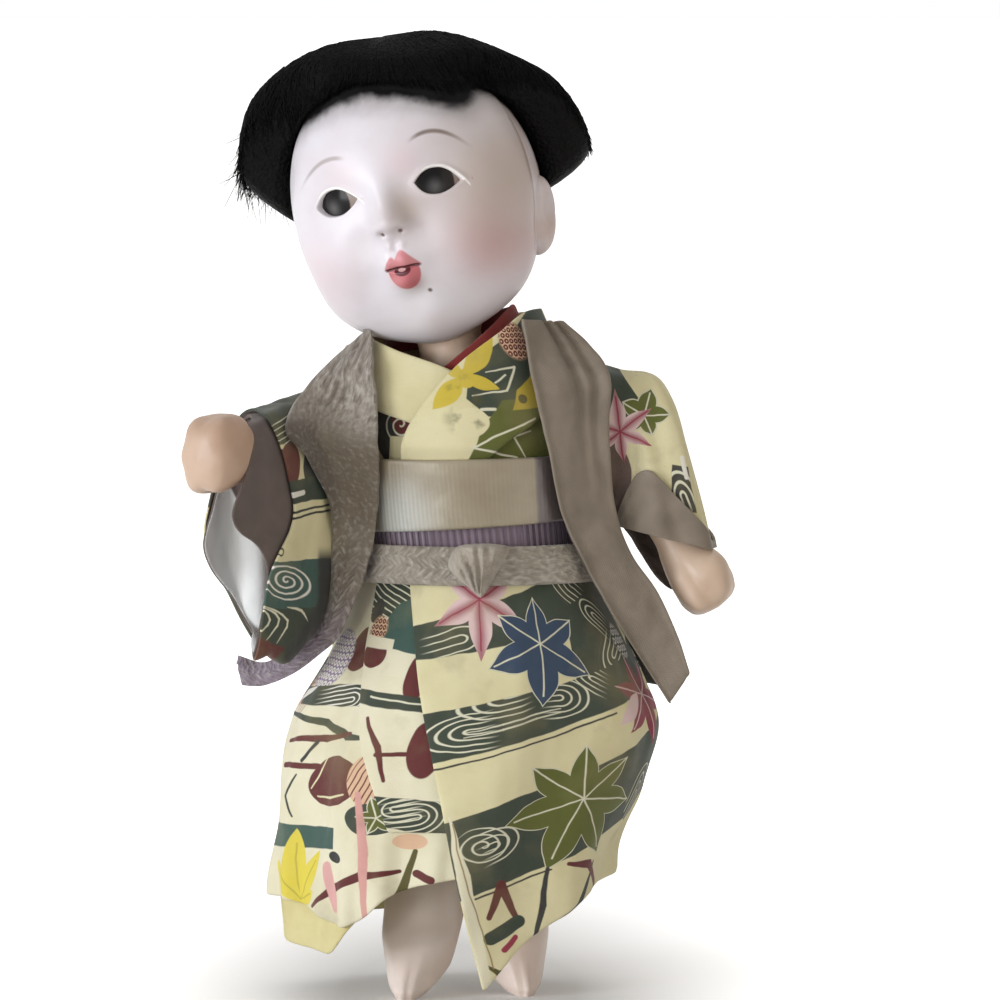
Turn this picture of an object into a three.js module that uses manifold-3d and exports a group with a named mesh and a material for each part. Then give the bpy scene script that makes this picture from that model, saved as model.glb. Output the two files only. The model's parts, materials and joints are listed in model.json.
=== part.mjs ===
// Dressed play doll with a gofun-white composition head, hands and legs, cloth joints,
// a printed kimono, a wide sash, a crepe belt and an open jacket.
// Millimetres, +Z up. The doll faces -Y and +X is its left. It stands on its two soles.
import * as THREE from "three";
import { mergeVertices } from "three/addons/utils/BufferGeometryUtils.js";
import Module from "manifold-3d";

const wasm = await Module();
wasm.setup();

// Gaps and thicknesses
const FIT = 0.35; // between pieces that are glued, sewn or laid on each other
const CLOTH = 0.8; // printed silk with its backing
const BAND_CLOTH = 1.3; // collar bands and lapels, folded double
const SASH_THICKNESS = 1.5;
const BELT_THICKNESS = 2.6;
const SHELL_WALL = 2.2; // pressed composition

// Heights, each built on the one below it
const KNEE_HEIGHT = 44; // where the cloth thigh meets the composition leg
const HIP_JOINT_HEIGHT = KNEE_HEIGHT + 24;
const HIP_TOP = HIP_JOINT_HEIGHT + 24;
const BELT_LOW = HIP_TOP - 2.5;
const BELT_HEIGHT = 7.4;
const BELT_TOP = BELT_LOW + BELT_HEIGHT;
const PLEATED_BAND_HEIGHT = 4.4;
const PLEATED_TOP = BELT_TOP + FIT + PLEATED_BAND_HEIGHT;
const SASH_LOW = PLEATED_TOP + FIT;
const SASH_HEIGHT = 16.2;
const SASH_TOP = SASH_LOW + SASH_HEIGHT;
const SHOULDER_HEIGHT = SASH_TOP + 8.8;
const PLATE_LOW = SHOULDER_HEIGHT - 16;
const NECK_JOINT_HEIGHT = SHOULDER_HEIGHT + 9;
const PLATE_TOP = NECK_JOINT_HEIGHT - 1;

// Head
const HEAD_WIDTH = 54;
const HEAD_DEPTH = 56;
const HEAD_CROWN = 31; // centre to crown
const HEAD_CHIN = 34; // centre to chin
const HEAD_NAPE = 27; // centre to the underside at the back
const HEAD_RISE = 39; // neck joint to head centre
const HEAD_TILT = THREE.MathUtils.degToRad(-12.7); // towards the doll's right
const HEAD_TURN = THREE.MathUtils.degToRad(-16); // towards the doll's right
const SEAM_PLANE = -2.5; // where the face mask meets the back of the head
const EYE_SPREAD = 0.2075 * HEAD_WIDTH; // face middle to eye centre
const EYE_LEVEL = 2;
const EYE_RADIUS = 5.5;
const EYE_HALF_WIDTH = 4.4;
const EYE_HALF_HEIGHT = 2.9;
const EYE_SETBACK = 0.7;
const EAR_LEVEL = -10;
const HAIRLINE = 22.5; // above the head centre
const HAIR_TOP = 34.5;
const HAIR_LOW = -6;
const HAIR_HALF_WIDTH = 37;
const NECK_RADIUS = 7;
const NECK_BALL = 8;
const NECK_OFFSET = -2; // the neck sits a little to the doll's right

// Limbs
const SHOULDER_SPREAD = 26;
const ARM_BALL = 4.7;
const ARM_RADIUS = 3.9;
const UPPER_ARM_LENGTH = 16;
const ARM_REACH = 45; // shoulder joint to the middle of the fist
const FIST_RADIUS = 6.4;
const HIP_SPREAD = 9;
const RIGHT_LEG_FORWARD = 3;
const LEFT_LEG_BACK = 3;
const THIGH_BALL = 8;
const CALF_RADIUS = 7.4;
const ANKLE_RADIUS = 5.4;
const FOOT_HALF_WIDTH = 7;
const FOOT_TOE = 15; // ankle middle to toe
const FOOT_HEEL = 8;
const FOOT_HEIGHT = 13;
const FOOT_TURN = THREE.MathUtils.degToRad(18); // toes outwards

// Skirt folds
const FOLD_DEPTH = 1.1;
const FOLD_COUNT = 9;

const V = (x, y, z) => new THREE.Vector3(x, y, z);
const degrees = THREE.MathUtils.degToRad;
const lerp = THREE.MathUtils.lerp;
const smoothstep = THREE.MathUtils.smoothstep;

// A smooth function through stations [[t, value], ...], flat beyond both ends.
function through(stations) {
  const slope = (i) => {
    const before = stations[Math.max(i - 1, 0)];
    const after = stations[Math.min(i + 1, stations.length - 1)];
    return (after[1] - before[1]) / (after[0] - before[0]);
  };
  return (t) => {
    if (t <= stations[0][0]) return stations[0][1];
    const end = stations.findIndex((s) => s[0] >= t);
    if (end < 0) return stations[stations.length - 1][1];
    const [t0, v0] = stations[end - 1];
    const [t1, v1] = stations[end];
    const span = t1 - t0;
    const s = (t - t0) / span;
    const keep = 2 * s ** 3 - 3 * s ** 2 + 1;
    const leave = s ** 3 - 2 * s ** 2 + s;
    const arrive = s ** 3 - s ** 2;
    return keep * v0 + leave * span * slope(end - 1) + (1 - keep) * v1 + arrive * span * slope(end);
  };
}

// Geometry from points and triangles, turned so that its faces point out.
function solidFrom(points, triangles) {
  let volume = 0;
  const cross = new THREE.Vector3();
  for (const [a, b, c] of triangles) volume += points[a].dot(cross.crossVectors(points[b], points[c]));
  const index = triangles.flatMap(([a, b, c]) => (volume < 0 ? [a, c, b] : [a, b, c]));
  return new THREE.BufferGeometry()
    .setAttribute("position", new THREE.Float32BufferAttribute(points.flatMap((p) => [p.x, p.y, p.z]), 3))
    .setIndex(index);
}

// A closed solid through rings of points, with a fan on each end.
function loft(rings) {
  const count = rings[0].length;
  const points = rings.flat();
  const triangles = [];
  for (let r = 0; r + 1 < rings.length; r++) {
    for (let i = 0; i < count; i++) {
      const a = r * count + i;
      const b = r * count + ((i + 1) % count);
      triangles.push([a, b, b + count], [a, b + count, a + count]);
    }
  }
  const cap = (ring, first, reversed) => {
    const middle = points.length;
    points.push(ring.reduce((sum, p) => sum.add(p), V(0, 0, 0)).divideScalar(count));
    for (let i = 0; i < count; i++) {
      const pair = [first + i, first + ((i + 1) % count)];
      triangles.push([middle, ...(reversed ? pair : pair.reverse())]);
    }
  };
  cap(rings[0], 0, false);
  cap(rings[rings.length - 1], (rings.length - 1) * count, true);
  return solidFrom(points, triangles);
}

// A sheet of cloth with two sides: surface(u, v, side) gives its inner side at 0 and its outer side at 1.
function sheet(surface, columns, rows, closed = false) {
  const across = closed ? columns : columns + 1;
  const points = [];
  for (const side of [0, 1]) {
    for (let r = 0; r <= rows; r++) {
      for (let c = 0; c < across; c++) points.push(surface(c / columns, r / rows, side));
    }
  }
  const at = (c, r, side) => side * across * (rows + 1) + r * across + (c % across);
  const triangles = [];
  const quad = (a, b, c, d) => triangles.push([a, b, c], [a, c, d]);
  for (let r = 0; r < rows; r++) {
    for (let c = 0; c < columns; c++) {
      quad(at(c, r, 1), at(c + 1, r, 1), at(c + 1, r + 1, 1), at(c, r + 1, 1));
      quad(at(c, r + 1, 0), at(c + 1, r + 1, 0), at(c + 1, r, 0), at(c, r, 0));
    }
  }
  for (let c = 0; c < columns; c++) {
    quad(at(c, 0, 0), at(c + 1, 0, 0), at(c + 1, 0, 1), at(c, 0, 1));
    quad(at(c, rows, 1), at(c + 1, rows, 1), at(c + 1, rows, 0), at(c, rows, 0));
  }
  for (let r = 0; r < rows && !closed; r++) {
    quad(at(0, r, 1), at(0, r + 1, 1), at(0, r + 1, 0), at(0, r, 0));
    quad(at(columns, r, 0), at(columns, r + 1, 0), at(columns, r + 1, 1), at(columns, r, 1));
  }
  return solidFrom(points, triangles);
}

function toSolid(geometry) {
  const bare = geometry.clone();
  for (const name of ["normal", "uv"]) bare.deleteAttribute(name);
  const merged = mergeVertices(bare, 1e-4);
  return new wasm.Manifold(
    new wasm.Mesh({
      numProp: 3,
      vertProperties: new Float32Array(merged.attributes.position.array),
      triVerts: new Uint32Array(merged.index.array),
    }),
  );
}

function fromSolid(solid) {
  const mesh = solid.getMesh();
  return new THREE.BufferGeometry()
    .setAttribute("position", new THREE.BufferAttribute(new Float32Array(mesh.vertProperties), 3))
    .setIndex(new THREE.BufferAttribute(new Uint32Array(mesh.triVerts), 1));
}

const ballAt = (centre, radius, segments = 18) =>
  new THREE.SphereGeometry(radius, segments, segments / 2).translate(centre.x, centre.y, centre.z);

const cut = (geometry, ...tools) =>
  fromSolid(tools.reduce((solid, tool) => solid.subtract(toSolid(tool)), toSolid(geometry)));

// A level ring, from +X towards +Y
function levelRing(centreX, centreY, z, halfWidth, halfDepth, count = 24) {
  return Array.from({ length: count }, (_, i) => {
    const angle = (i / count) * 2 * Math.PI;
    return V(centreX + halfWidth * Math.cos(angle), centreY + halfDepth * Math.sin(angle), z);
  });
}

// Materials
const finish = (colour, roughness, metalness = 0) =>
  new THREE.MeshStandardMaterial({ color: colour, roughness, metalness });
const gofun = finish(0xe9e0dc, 0.35);
const composition = finish(0xdcc8b4, 0.45);
const glass = finish(0x120d0c, 0.05);
const hair = finish(0x080707, 0.6);
const wood = finish(0xb99b6b, 0.7);
const muslin = finish(0xcfc4ac, 0.9);
const print = finish(0xd9d2a2, 0.8);
const redSilk = finish(0x8c1f12, 0.6);
const silverSilk = finish(0xa89f8b, 0.5);
const plumSilk = finish(0x7d6b78, 0.7);
const greyCrepe = finish(0x8b8175, 0.9);
const greySilk = finish(0x6c6154, 0.7);

const doll = new THREE.Group();
function add(name, geometry, material, parent = doll) {
  const mesh = new THREE.Mesh(geometry, material);
  mesh.name = name;
  parent.add(mesh);
  return mesh;
}

// The form that the clothes lie on: each row is height, middle, half width and half depth.
const FORM = [
  [3, -3, 36, 31],
  [30, -2.5, 37, 30.5],
  [HIP_JOINT_HEIGHT - 22, -0.5, 38, 29.5],
  [HIP_JOINT_HEIGHT - 8, 2, 38, 27.5],
  [HIP_JOINT_HEIGHT + 7, 3.2, 31.5, 24],
  [BELT_LOW + BELT_HEIGHT / 2, 2.2, 22.8, 18.6],
  [SASH_LOW + 3, 1, 22.3, 17.6],
  [SASH_TOP, 0, 23, 17.4],
  [SHOULDER_HEIGHT - 1, -1, 24, 16.6],
  [SHOULDER_HEIGHT + 4, -1.5, 23, 15.5],
  [NECK_JOINT_HEIGHT, NECK_OFFSET, 19.8, 14.2],
  [NECK_JOINT_HEIGHT + 5, NECK_OFFSET, 16.4, 13],
  [NECK_JOINT_HEIGHT + 11, NECK_OFFSET, 14, 12.4],
  [NECK_JOINT_HEIGHT + 15, NECK_OFFSET, 13, 12.2],
];
const formMiddle = through(FORM.map((row) => [row[0], row[1]]));
const formHalfWidth = through(FORM.map((row) => [row[0], row[2]]));
const formHalfDepth = through(FORM.map((row) => [row[0], row[3]]));

function foldAt(angle, z) {
  const below = smoothstep(BELT_LOW - z, 8, 60);
  return FOLD_DEPTH * below * Math.cos(FOLD_COUNT * angle + 0.6);
}

// A point of the form, raised by offset. Angle 0 is the doll's left side and -90 degrees its front.
function onForm(angle, z, offset) {
  const out = offset + foldAt(angle, z);
  return V(
    formMiddle(z) + (formHalfWidth(z) + out) * Math.cos(angle),
    (formHalfDepth(z) + out) * Math.sin(angle),
    z,
  );
}

// Where the form's front lies at a given x, as an angle
function frontAngle(x, z, offset) {
  const share = (x - formMiddle(z)) / (formHalfWidth(z) + offset);
  return -Math.acos(THREE.MathUtils.clamp(share, -0.995, 0.995));
}

// Layers over the form
const OVER_ONE = CLOTH + FIT;
const OVER_TWO = 2 * OVER_ONE;
const SASH_LAYER = OVER_TWO;
const OVER_SASH = SASH_LAYER + SASH_THICKNESS + FIT;
const OVER_SKIRT = OVER_TWO + CLOTH + FIT;
const OVER_BELT = OVER_SKIRT + BELT_THICKNESS + FIT;

// Torso: shoulder plate, cloth waist and hip block
const neckJoint = V(NECK_OFFSET, 0, NECK_JOINT_HEIGHT);
const rightShoulder = V(-SHOULDER_SPREAD, 0, SHOULDER_HEIGHT);
const leftShoulder = V(SHOULDER_SPREAD, 0, SHOULDER_HEIGHT);
const rightHip = V(-HIP_SPREAD, -RIGHT_LEG_FORWARD, HIP_JOINT_HEIGHT);
const leftHip = V(HIP_SPREAD, LEFT_LEG_BACK, HIP_JOINT_HEIGHT);

const PLATE_WIDE = SHOULDER_SPREAD - ARM_BALL + 1.5; // half width, so that the arm balls seat in its sides
const PLATE_DEEP = 16.6;
const plateRows = (wall) => [
  [PLATE_LOW, PLATE_WIDE - 2, PLATE_DEEP - 0.2],
  [PLATE_LOW + 7, PLATE_WIDE - 0.5, PLATE_DEEP],
  [SHOULDER_HEIGHT, PLATE_WIDE, PLATE_DEEP - 1],
  [SHOULDER_HEIGHT + 5, PLATE_WIDE - 3.5, PLATE_DEEP - 2.6],
  [PLATE_TOP - wall, NECK_BALL + 5, NECK_BALL + 3.2],
];
const plateLoft = (wall) =>
  loft(
    plateRows(wall).map(([z, wide, deep]) =>
      levelRing(NECK_OFFSET / 2, 0, z === PLATE_LOW ? z - wall : z, wide - wall, deep - wall),
    ),
  );
add(
  "shoulder_plate",
  cut(
    plateLoft(0),
    plateLoft(SHELL_WALL),
    ballAt(neckJoint, NECK_BALL + FIT),
    ballAt(rightShoulder, ARM_BALL + FIT, 16),
    ballAt(leftShoulder, ARM_BALL + FIT, 16),
  ),
  composition,
);

const WAIST_WIDE = 20;
const WAIST_DEEP = 16.6;
add(
  "cloth_waist",
  loft([
    levelRing(0, 0, HIP_TOP + FIT, WAIST_WIDE, WAIST_DEEP),
    levelRing(0, 0, (HIP_TOP + PLATE_LOW) / 2, WAIST_WIDE - 1.2, WAIST_DEEP - 0.8),
    levelRing(0, 0, PLATE_LOW - FIT, WAIST_WIDE, WAIST_DEEP),
  ]),
  muslin,
);

const HIP_LOW = HIP_JOINT_HEIGHT + 1.5;
add(
  "hip_block",
  cut(
    loft([
      levelRing(0, 0, HIP_LOW, HIP_SPREAD + 6.5, 12.5),
      levelRing(0, 0, HIP_LOW + 7, HIP_SPREAD + 9, 14),
      levelRing(0, 0, HIP_TOP - 6, WAIST_WIDE + 1, WAIST_DEEP + 0.8),
      levelRing(0, 0, HIP_TOP, WAIST_WIDE, WAIST_DEEP),
    ]),
    ballAt(rightHip, THIGH_BALL + FIT),
    ballAt(leftHip, THIGH_BALL + FIT),
  ),
  composition,
);

// Legs: a stuffed cloth thigh with a round end, and a composition leg with a flat sole
function leg(side, hip, turn) {
  const thighRows = [
    [hip.z + THIGH_BALL * 0.94, THIGH_BALL * 0.34],
    [hip.z + THIGH_BALL * 0.71, THIGH_BALL * 0.71],
    [hip.z + THIGH_BALL * 0.34, THIGH_BALL * 0.94],
    [hip.z, THIGH_BALL],
    [hip.z - 8, THIGH_BALL - 0.4],
    [KNEE_HEIGHT + 4, CALF_RADIUS - 0.4],
    [KNEE_HEIGHT, CALF_RADIUS - 1.2],
  ];
  add(
    `${side}_thigh`,
    loft(thighRows.map(([z, radius]) => levelRing(hip.x, hip.y, z, radius, radius, 20))),
    muslin,
  );
  const middle = (FOOT_HEEL - FOOT_TOE) / 2;
  const half = (FOOT_HEEL + FOOT_TOE) / 2;
  const legRows = [
    [0, FOOT_HALF_WIDTH - 1, middle, half - 1],
    [1.6, FOOT_HALF_WIDTH, middle, half],
    [FOOT_HEIGHT * 0.38, FOOT_HALF_WIDTH - 0.2, middle + 0.7, half - 0.8],
    [FOOT_HEIGHT * 0.68, FOOT_HALF_WIDTH - 1, middle * 0.55, half * 0.72],
    [FOOT_HEIGHT, ANKLE_RADIUS + 0.3, middle * 0.15, ANKLE_RADIUS + 0.9],
    [FOOT_HEIGHT + 5, ANKLE_RADIUS, 0, ANKLE_RADIUS],
    [KNEE_HEIGHT * 0.72, CALF_RADIUS, 0.6, CALF_RADIUS],
    [KNEE_HEIGHT - FIT, CALF_RADIUS - 1.2, 0, CALF_RADIUS - 1.2],
  ];
  add(
    `${side}_lower_leg`,
    loft(legRows.map(([z, wide, y, deep]) => levelRing(0, y, z, wide, deep, 20)))
      .rotateZ(turn)
      .translate(hip.x, hip.y, 0),
    composition,
  );
}
leg("right", rightHip, -FOOT_TURN);
leg("left", leftHip, FOOT_TURN);

// Arms: built along +Z from the shoulder joint, then turned to their direction
const rightArmAim = V(-25.5, -33, -8).normalize();
const leftArmAim = V(23, -5, -34).normalize();
function arm(side, shoulder, aim) {
  const group = new THREE.Group();
  group.position.copy(shoulder);
  group.quaternion.setFromUnitVectors(V(0, 0, 1), aim);
  const upper = [
    [-ARM_BALL * 0.94, ARM_BALL * 0.34],
    [-ARM_BALL * 0.71, ARM_BALL * 0.71],
    [-ARM_BALL * 0.34, ARM_BALL * 0.94],
    [0, ARM_BALL],
    [ARM_BALL, ARM_BALL - 0.2],
    [UPPER_ARM_LENGTH - 2, ARM_RADIUS],
    [UPPER_ARM_LENGTH, ARM_RADIUS - 0.7],
  ];
  add(
    `${side}_upper_arm`,
    loft(upper.map(([z, radius]) => levelRing(0, 0, z, radius, radius, 16))),
    muslin,
    group,
  );
  const fore = [
    [UPPER_ARM_LENGTH + FIT, ARM_RADIUS - 0.7, 1],
    [UPPER_ARM_LENGTH + 3, ARM_RADIUS, 1],
    [ARM_REACH - FIST_RADIUS - 3, ARM_RADIUS - 0.2, 1],
    [ARM_REACH - FIST_RADIUS * 0.7, FIST_RADIUS * 0.86, 0.95],
    [ARM_REACH, FIST_RADIUS, 0.95],
    [ARM_REACH + FIST_RADIUS * 0.6, FIST_RADIUS * 0.86, 0.95],
    [ARM_REACH + FIST_RADIUS * 0.95, FIST_RADIUS * 0.4, 0.95],
  ];
  add(
    `${side}_forearm`,
    loft(fore.map(([z, radius, flat]) => levelRing(0, 0, z, radius, radius * flat, 16))),
    composition,
    group,
  );
  doll.add(group);
}
arm("right", rightShoulder, rightArmAim);
arm("left", leftShoulder, leftArmAim);

// Head: its own frame has the head centre at the origin, with the face towards -Y
const headTilt = new THREE.Group();
headTilt.position.copy(neckJoint);
headTilt.rotation.y = HEAD_TILT;
const head = new THREE.Group();
head.position.z = HEAD_RISE;
head.rotation.z = HEAD_TURN;
headTilt.add(head);
doll.add(headTilt);

// Soft bumps on the face: middle x, middle z, height, spread
const FACE_BUMPS = [
  [0, EYE_LEVEL - 6.6, 2.6, 2.6], // nose
  [0, EYE_LEVEL - 16.6, 1, 3.4], // lips
  [14, -12, 1.3, 8], // cheeks
  [-14, -12, 1.3, 8],
  [EYE_SPREAD, EYE_LEVEL, -0.9, 4.5], // eye hollows
  [-EYE_SPREAD, EYE_LEVEL, -0.9, 4.5],
];
function headGeometry(grow, columns, rows, bumps) {
  const skull = new THREE.SphereGeometry(1, columns, rows).rotateX(Math.PI / 2);
  const place = skull.attributes.position;
  for (let i = 0; i < place.count; i++) {
    const p = V(0, 0, 0).fromBufferAttribute(place, i);
    p.x *= HEAD_WIDTH / 2 + grow;
    p.y *= HEAD_DEPTH / 2 + grow;
    const underside = lerp(HEAD_CHIN, HEAD_NAPE, smoothstep(p.y, -HEAD_DEPTH / 4, HEAD_DEPTH / 4));
    p.z *= (p.z > 0 ? HEAD_CROWN : underside) + grow;
    const front = smoothstep(-p.y, 0, HEAD_DEPTH / 4);
    for (const [x, z, height, spread] of bumps) {
      p.y -= front * height * Math.exp(-((p.x - x) ** 2 + (p.z - z) ** 2) / (2 * (spread / 1.6) ** 2));
    }
    place.setXYZ(i, p.x, p.y, p.z);
  }
  return skull;
}
const faceFront = (x, z) => (-HEAD_DEPTH / 2) * Math.sqrt(1 - (2 * x / HEAD_WIDTH) ** 2 - (z / HEAD_CROWN) ** 2);
const eyeCentre = (side) => V(side * EYE_SPREAD, faceFront(EYE_SPREAD, EYE_LEVEL) + EYE_SETBACK + EYE_RADIUS, EYE_LEVEL);

const neckBore = new THREE.CylinderGeometry(NECK_RADIUS + FIT, NECK_RADIUS + FIT, HEAD_CHIN, 24)
  .rotateX(Math.PI / 2)
  .translate(0, 0, -HEAD_CHIN);
const headShell = toSolid(headGeometry(0, 30, 22, FACE_BUMPS))
  .subtract(toSolid(headGeometry(-SHELL_WALL, 18, 12, [])))
  .subtract(toSolid(neckBore));
const halfSpace = (from, to) =>
  toSolid(new THREE.BoxGeometry(4 * HEAD_WIDTH, to - from, 4 * HEAD_WIDTH).translate(0, (from + to) / 2, 0));
const eyeCut = (side) =>
  new THREE.CylinderGeometry(1, 1, HEAD_DEPTH / 2, 20)
    .scale(EYE_HALF_WIDTH, 1, EYE_HALF_HEIGHT)
    .translate(side * EYE_SPREAD, -HEAD_DEPTH / 2, EYE_LEVEL);
let mask = headShell.intersect(halfSpace(-HEAD_DEPTH, SEAM_PLANE - FIT / 2));
for (const side of [-1, 1]) {
  mask = mask.subtract(toSolid(eyeCut(side))).subtract(toSolid(ballAt(eyeCentre(side), EYE_RADIUS + FIT, 16)));
}
add("face_mask", fromSolid(mask), gofun, head);

const ear = (side) =>
  new THREE.SphereGeometry(1, 14, 10)
    .scale(3.4, 4.6, 8.2)
    .translate(side * (HEAD_WIDTH / 2 - 1.2), SEAM_PLANE + FIT / 2 + 4.7, EAR_LEVEL);
const headBack = headShell.intersect(halfSpace(SEAM_PLANE + FIT / 2, HEAD_DEPTH));
const cavity = toSolid(headGeometry(-SHELL_WALL, 18, 12, []));
add(
  "head_back",
  fromSolid(headBack.add(toSolid(ear(-1)).add(toSolid(ear(1))).subtract(cavity))),
  gofun,
  head,
);
add("right_eye", ballAt(eyeCentre(-1), EYE_RADIUS, 16), glass, head);
add("left_eye", ballAt(eyeCentre(1), EYE_RADIUS, 16), glass, head);

// Wig: a cap of hair that flares at the sides and lies close to the forehead, open over the face.
// A row is height, half width and how far the hair stands in front.
const hairRows = [
  [HAIR_LOW, HAIR_HALF_WIDTH - 2.5, HEAD_DEPTH / 2],
  [HAIR_LOW + 8, HAIR_HALF_WIDTH, HEAD_DEPTH / 2],
  [HAIR_LOW + 18, HAIR_HALF_WIDTH - 1, HEAD_DEPTH / 2 - 0.4],
  [HAIR_TOP - 13, HAIR_HALF_WIDTH - 6, HEAD_DEPTH / 2 - 6],
  [HAIR_TOP - 5.5, HAIR_HALF_WIDTH - 16, HEAD_DEPTH / 2 - 12.5],
  [HAIR_TOP - 1.2, HAIR_HALF_WIDTH - 27, HEAD_DEPTH / 2 - 21],
  [HAIR_TOP, HAIR_HALF_WIDTH - 34, HEAD_DEPTH / 2 - 25.5],
];
const hairDepth = HEAD_DEPTH / HEAD_WIDTH - 0.04;
function hairRing([z, half, front]) {
  const ring = levelRing(0, 0, z, half, half * hairDepth, 28);
  for (const p of ring) if (p.y < 0) p.y *= front / (half * hairDepth);
  return ring;
}
// The face window is a square arch with rounded corners.
const windowOutline = new THREE.Shape(
  Array.from({ length: 36 }, (_, i) => {
    const c = Math.cos((i / 18) * Math.PI);
    const s = Math.sin((i / 18) * Math.PI);
    const square = (c ** 4 + s ** 4) ** -0.25;
    return new THREE.Vector2((HEAD_WIDTH / 2 + 1.8) * c * square, (HAIRLINE - HAIR_LOW + 4) * s * square);
  }),
);
const faceWindow = new THREE.ExtrudeGeometry(windowOutline, { depth: HEAD_DEPTH, bevelEnabled: false })
  .rotateX(Math.PI / 2)
  .translate(0, SEAM_PLANE - 1, HAIR_LOW - 4);
const sideTrim = new THREE.CylinderGeometry(HEAD_WIDTH / 2, HEAD_WIDTH / 2, 4 * HEAD_WIDTH, 24)
  .rotateZ(Math.PI / 2)
  .translate(0, SEAM_PLANE - HEAD_DEPTH / 2 - 8, HAIR_LOW - 5);
add(
  "wig",
  cut(
    loft(hairRows.map(hairRing)),
    headGeometry(FIT + 0.25, 30, 22, FACE_BUMPS),
    faceWindow,
    sideTrim,
    ear(-1).scale(1.05, 1.05, 1.05),
    ear(1).scale(1.05, 1.05, 1.05),
  ),
  hair,
  head,
);

// Neck: a turned plug glued into the head, with a round end that turns in the shoulder plate
const plugProfile = [];
const waistAngle = Math.asin(NECK_RADIUS / NECK_BALL) - 0.1;
for (let i = 0; i <= 8; i++) {
  const angle = lerp(Math.PI, waistAngle, i / 8);
  plugProfile.push(new THREE.Vector2(NECK_BALL * Math.sin(angle), NECK_BALL * Math.cos(angle)));
}
plugProfile[0].x = 0;
const PLUG_TOP = HEAD_RISE - HEAD_CHIN + SHELL_WALL + 4;
plugProfile.push(new THREE.Vector2(NECK_RADIUS, PLUG_TOP), new THREE.Vector2(0, PLUG_TOP));
add("neck_plug", new THREE.LatheGeometry(plugProfile, 18).rotateX(Math.PI / 2), wood, headTilt);

// Kimono above the sash: a back and two fronts that cross, with the left over the right
const ARMHOLE = degrees(30); // half of the gap that each arm passes
const UNDER_SASH = SASH_LOW - PLEATED_BAND_HEIGHT; // the bodice ends behind the sash
const panel = (angleAt, lowAt, highAt, offsetAt, columns, rows, thickness = CLOTH) =>
  sheet(
    (u, v, side) => {
      const z = lerp(lowAt(u), highAt(u), v);
      return onForm(angleAt(u, z), z, offsetAt(u, z) + side * thickness);
    },
    columns,
    rows,
  );
const between = (from, to) => (u) => lerp(from, to, u);
const level = (value) => () => value;
const BACK_TOP = NECK_JOINT_HEIGHT + 4.5;
add(
  "kimono_back",
  panel(between(ARMHOLE, Math.PI - ARMHOLE), level(UNDER_SASH), level(BACK_TOP), level(0), 12, 6),
  print,
);
// The neckline drops from the side of the neck to the crossing in front.
const neckline = through([
  [0, NECK_JOINT_HEIGHT + 3],
  [0.35, NECK_JOINT_HEIGHT - 1],
  [0.75, SASH_TOP + 4],
  [1, SASH_TOP + 0.5],
]);
add(
  "kimono_right_front",
  panel(between(-Math.PI + ARMHOLE, degrees(-78)), level(UNDER_SASH), neckline, level(0), 10, 5),
  print,
);
add(
  "kimono_left_front",
  panel(between(-ARMHOLE, degrees(-104)), level(UNDER_SASH), neckline, level(OVER_ONE), 10, 5),
  print,
);

// Collar bands: each runs from the back of the neck round its side and crosses in front.
// A row holds the angle and height of the neck-side edge, then those of the outer edge.
const NECK_BACK = NECK_JOINT_HEIGHT + HEAD_RISE - HEAD_NAPE - 2; // the collar lies just under the head
const BAND_END = SASH_TOP + FIT;
function band(rows, offset, thickness, columns, lines = 5) {
  const edge = (first) => {
    const points = rows.map((row) => V(degrees(row[first]), row[first + 1], 0));
    return new THREE.CatmullRomCurve3(points, false, "centripetal");
  };
  const neckSide = edge(0);
  const outer = edge(2);
  return sheet(
    (u, v, side) => {
      const place = neckSide.getPoint(u).lerp(outer.getPoint(u), v);
      return onForm(place.x, place.y, offset + side * thickness);
    },
    columns,
    lines,
  );
}
const COLLAR_LAYER = OVER_TWO;
add(
  "kimono_right_collar",
  band(
    [
      [93, NECK_BACK, 93, NECK_BACK - 5],
      [150, NECK_BACK - 1, 150, NECK_BACK - 7],
      [190, NECK_BACK - 3, 186, NECK_BACK - 12],
      [225, NECK_BACK - 5, 216, NECK_BACK - 17],
      [270, NECK_BACK - 10, 248, NECK_BACK - 21.5],
      [298, NECK_BACK - 18, 264, NECK_BACK - 25],
      [316, BAND_END, 274, BAND_END],
    ],
    COLLAR_LAYER,
    BAND_CLOTH,
    20,
  ),
  print,
);
add(
  "kimono_left_collar",
  band(
    [
      [87, NECK_BACK, 87, NECK_BACK - 5],
      [30, NECK_BACK + 2, 30, NECK_BACK - 5],
      [0, NECK_BACK + 3, 0, NECK_BACK - 7],
      [-35, NECK_BACK + 1, -26, NECK_BACK - 10],
      [-62, NECK_BACK - 4, -42, NECK_BACK - 16],
      [-90, NECK_BACK - 10, -56, NECK_BACK - 21],
      [-112, NECK_BACK - 20.5, -70, NECK_BACK - 25],
      [-122, BAND_END, -77, BAND_END],
    ],
    COLLAR_LAYER + BAND_CLOTH + FIT,
    BAND_CLOTH,
    22,
  ),
  print,
);

// Red under-collar: a low standing band that shows inside the left collar
add(
  "under_collar",
  band(
    [
      [-86, NECK_BACK - 7.5, -86, NECK_BACK - 13],
      [-60, NECK_BACK - 2.5, -60, NECK_BACK - 11],
      [-30, NECK_BACK + 2, -30, NECK_BACK - 8],
      [0, NECK_BACK + 3.5, 0, NECK_BACK - 6],
      [90, NECK_BACK + 0.5, 90, NECK_BACK - 6],
      [180, NECK_BACK - 4.4, 180, NECK_BACK - 8.5],
      [215, NECK_BACK - 7, 215, NECK_BACK - 10.5],
    ],
    -FIT - CLOTH,
    CLOTH,
    18,
    1,
  ),
  redSilk,
);

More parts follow.
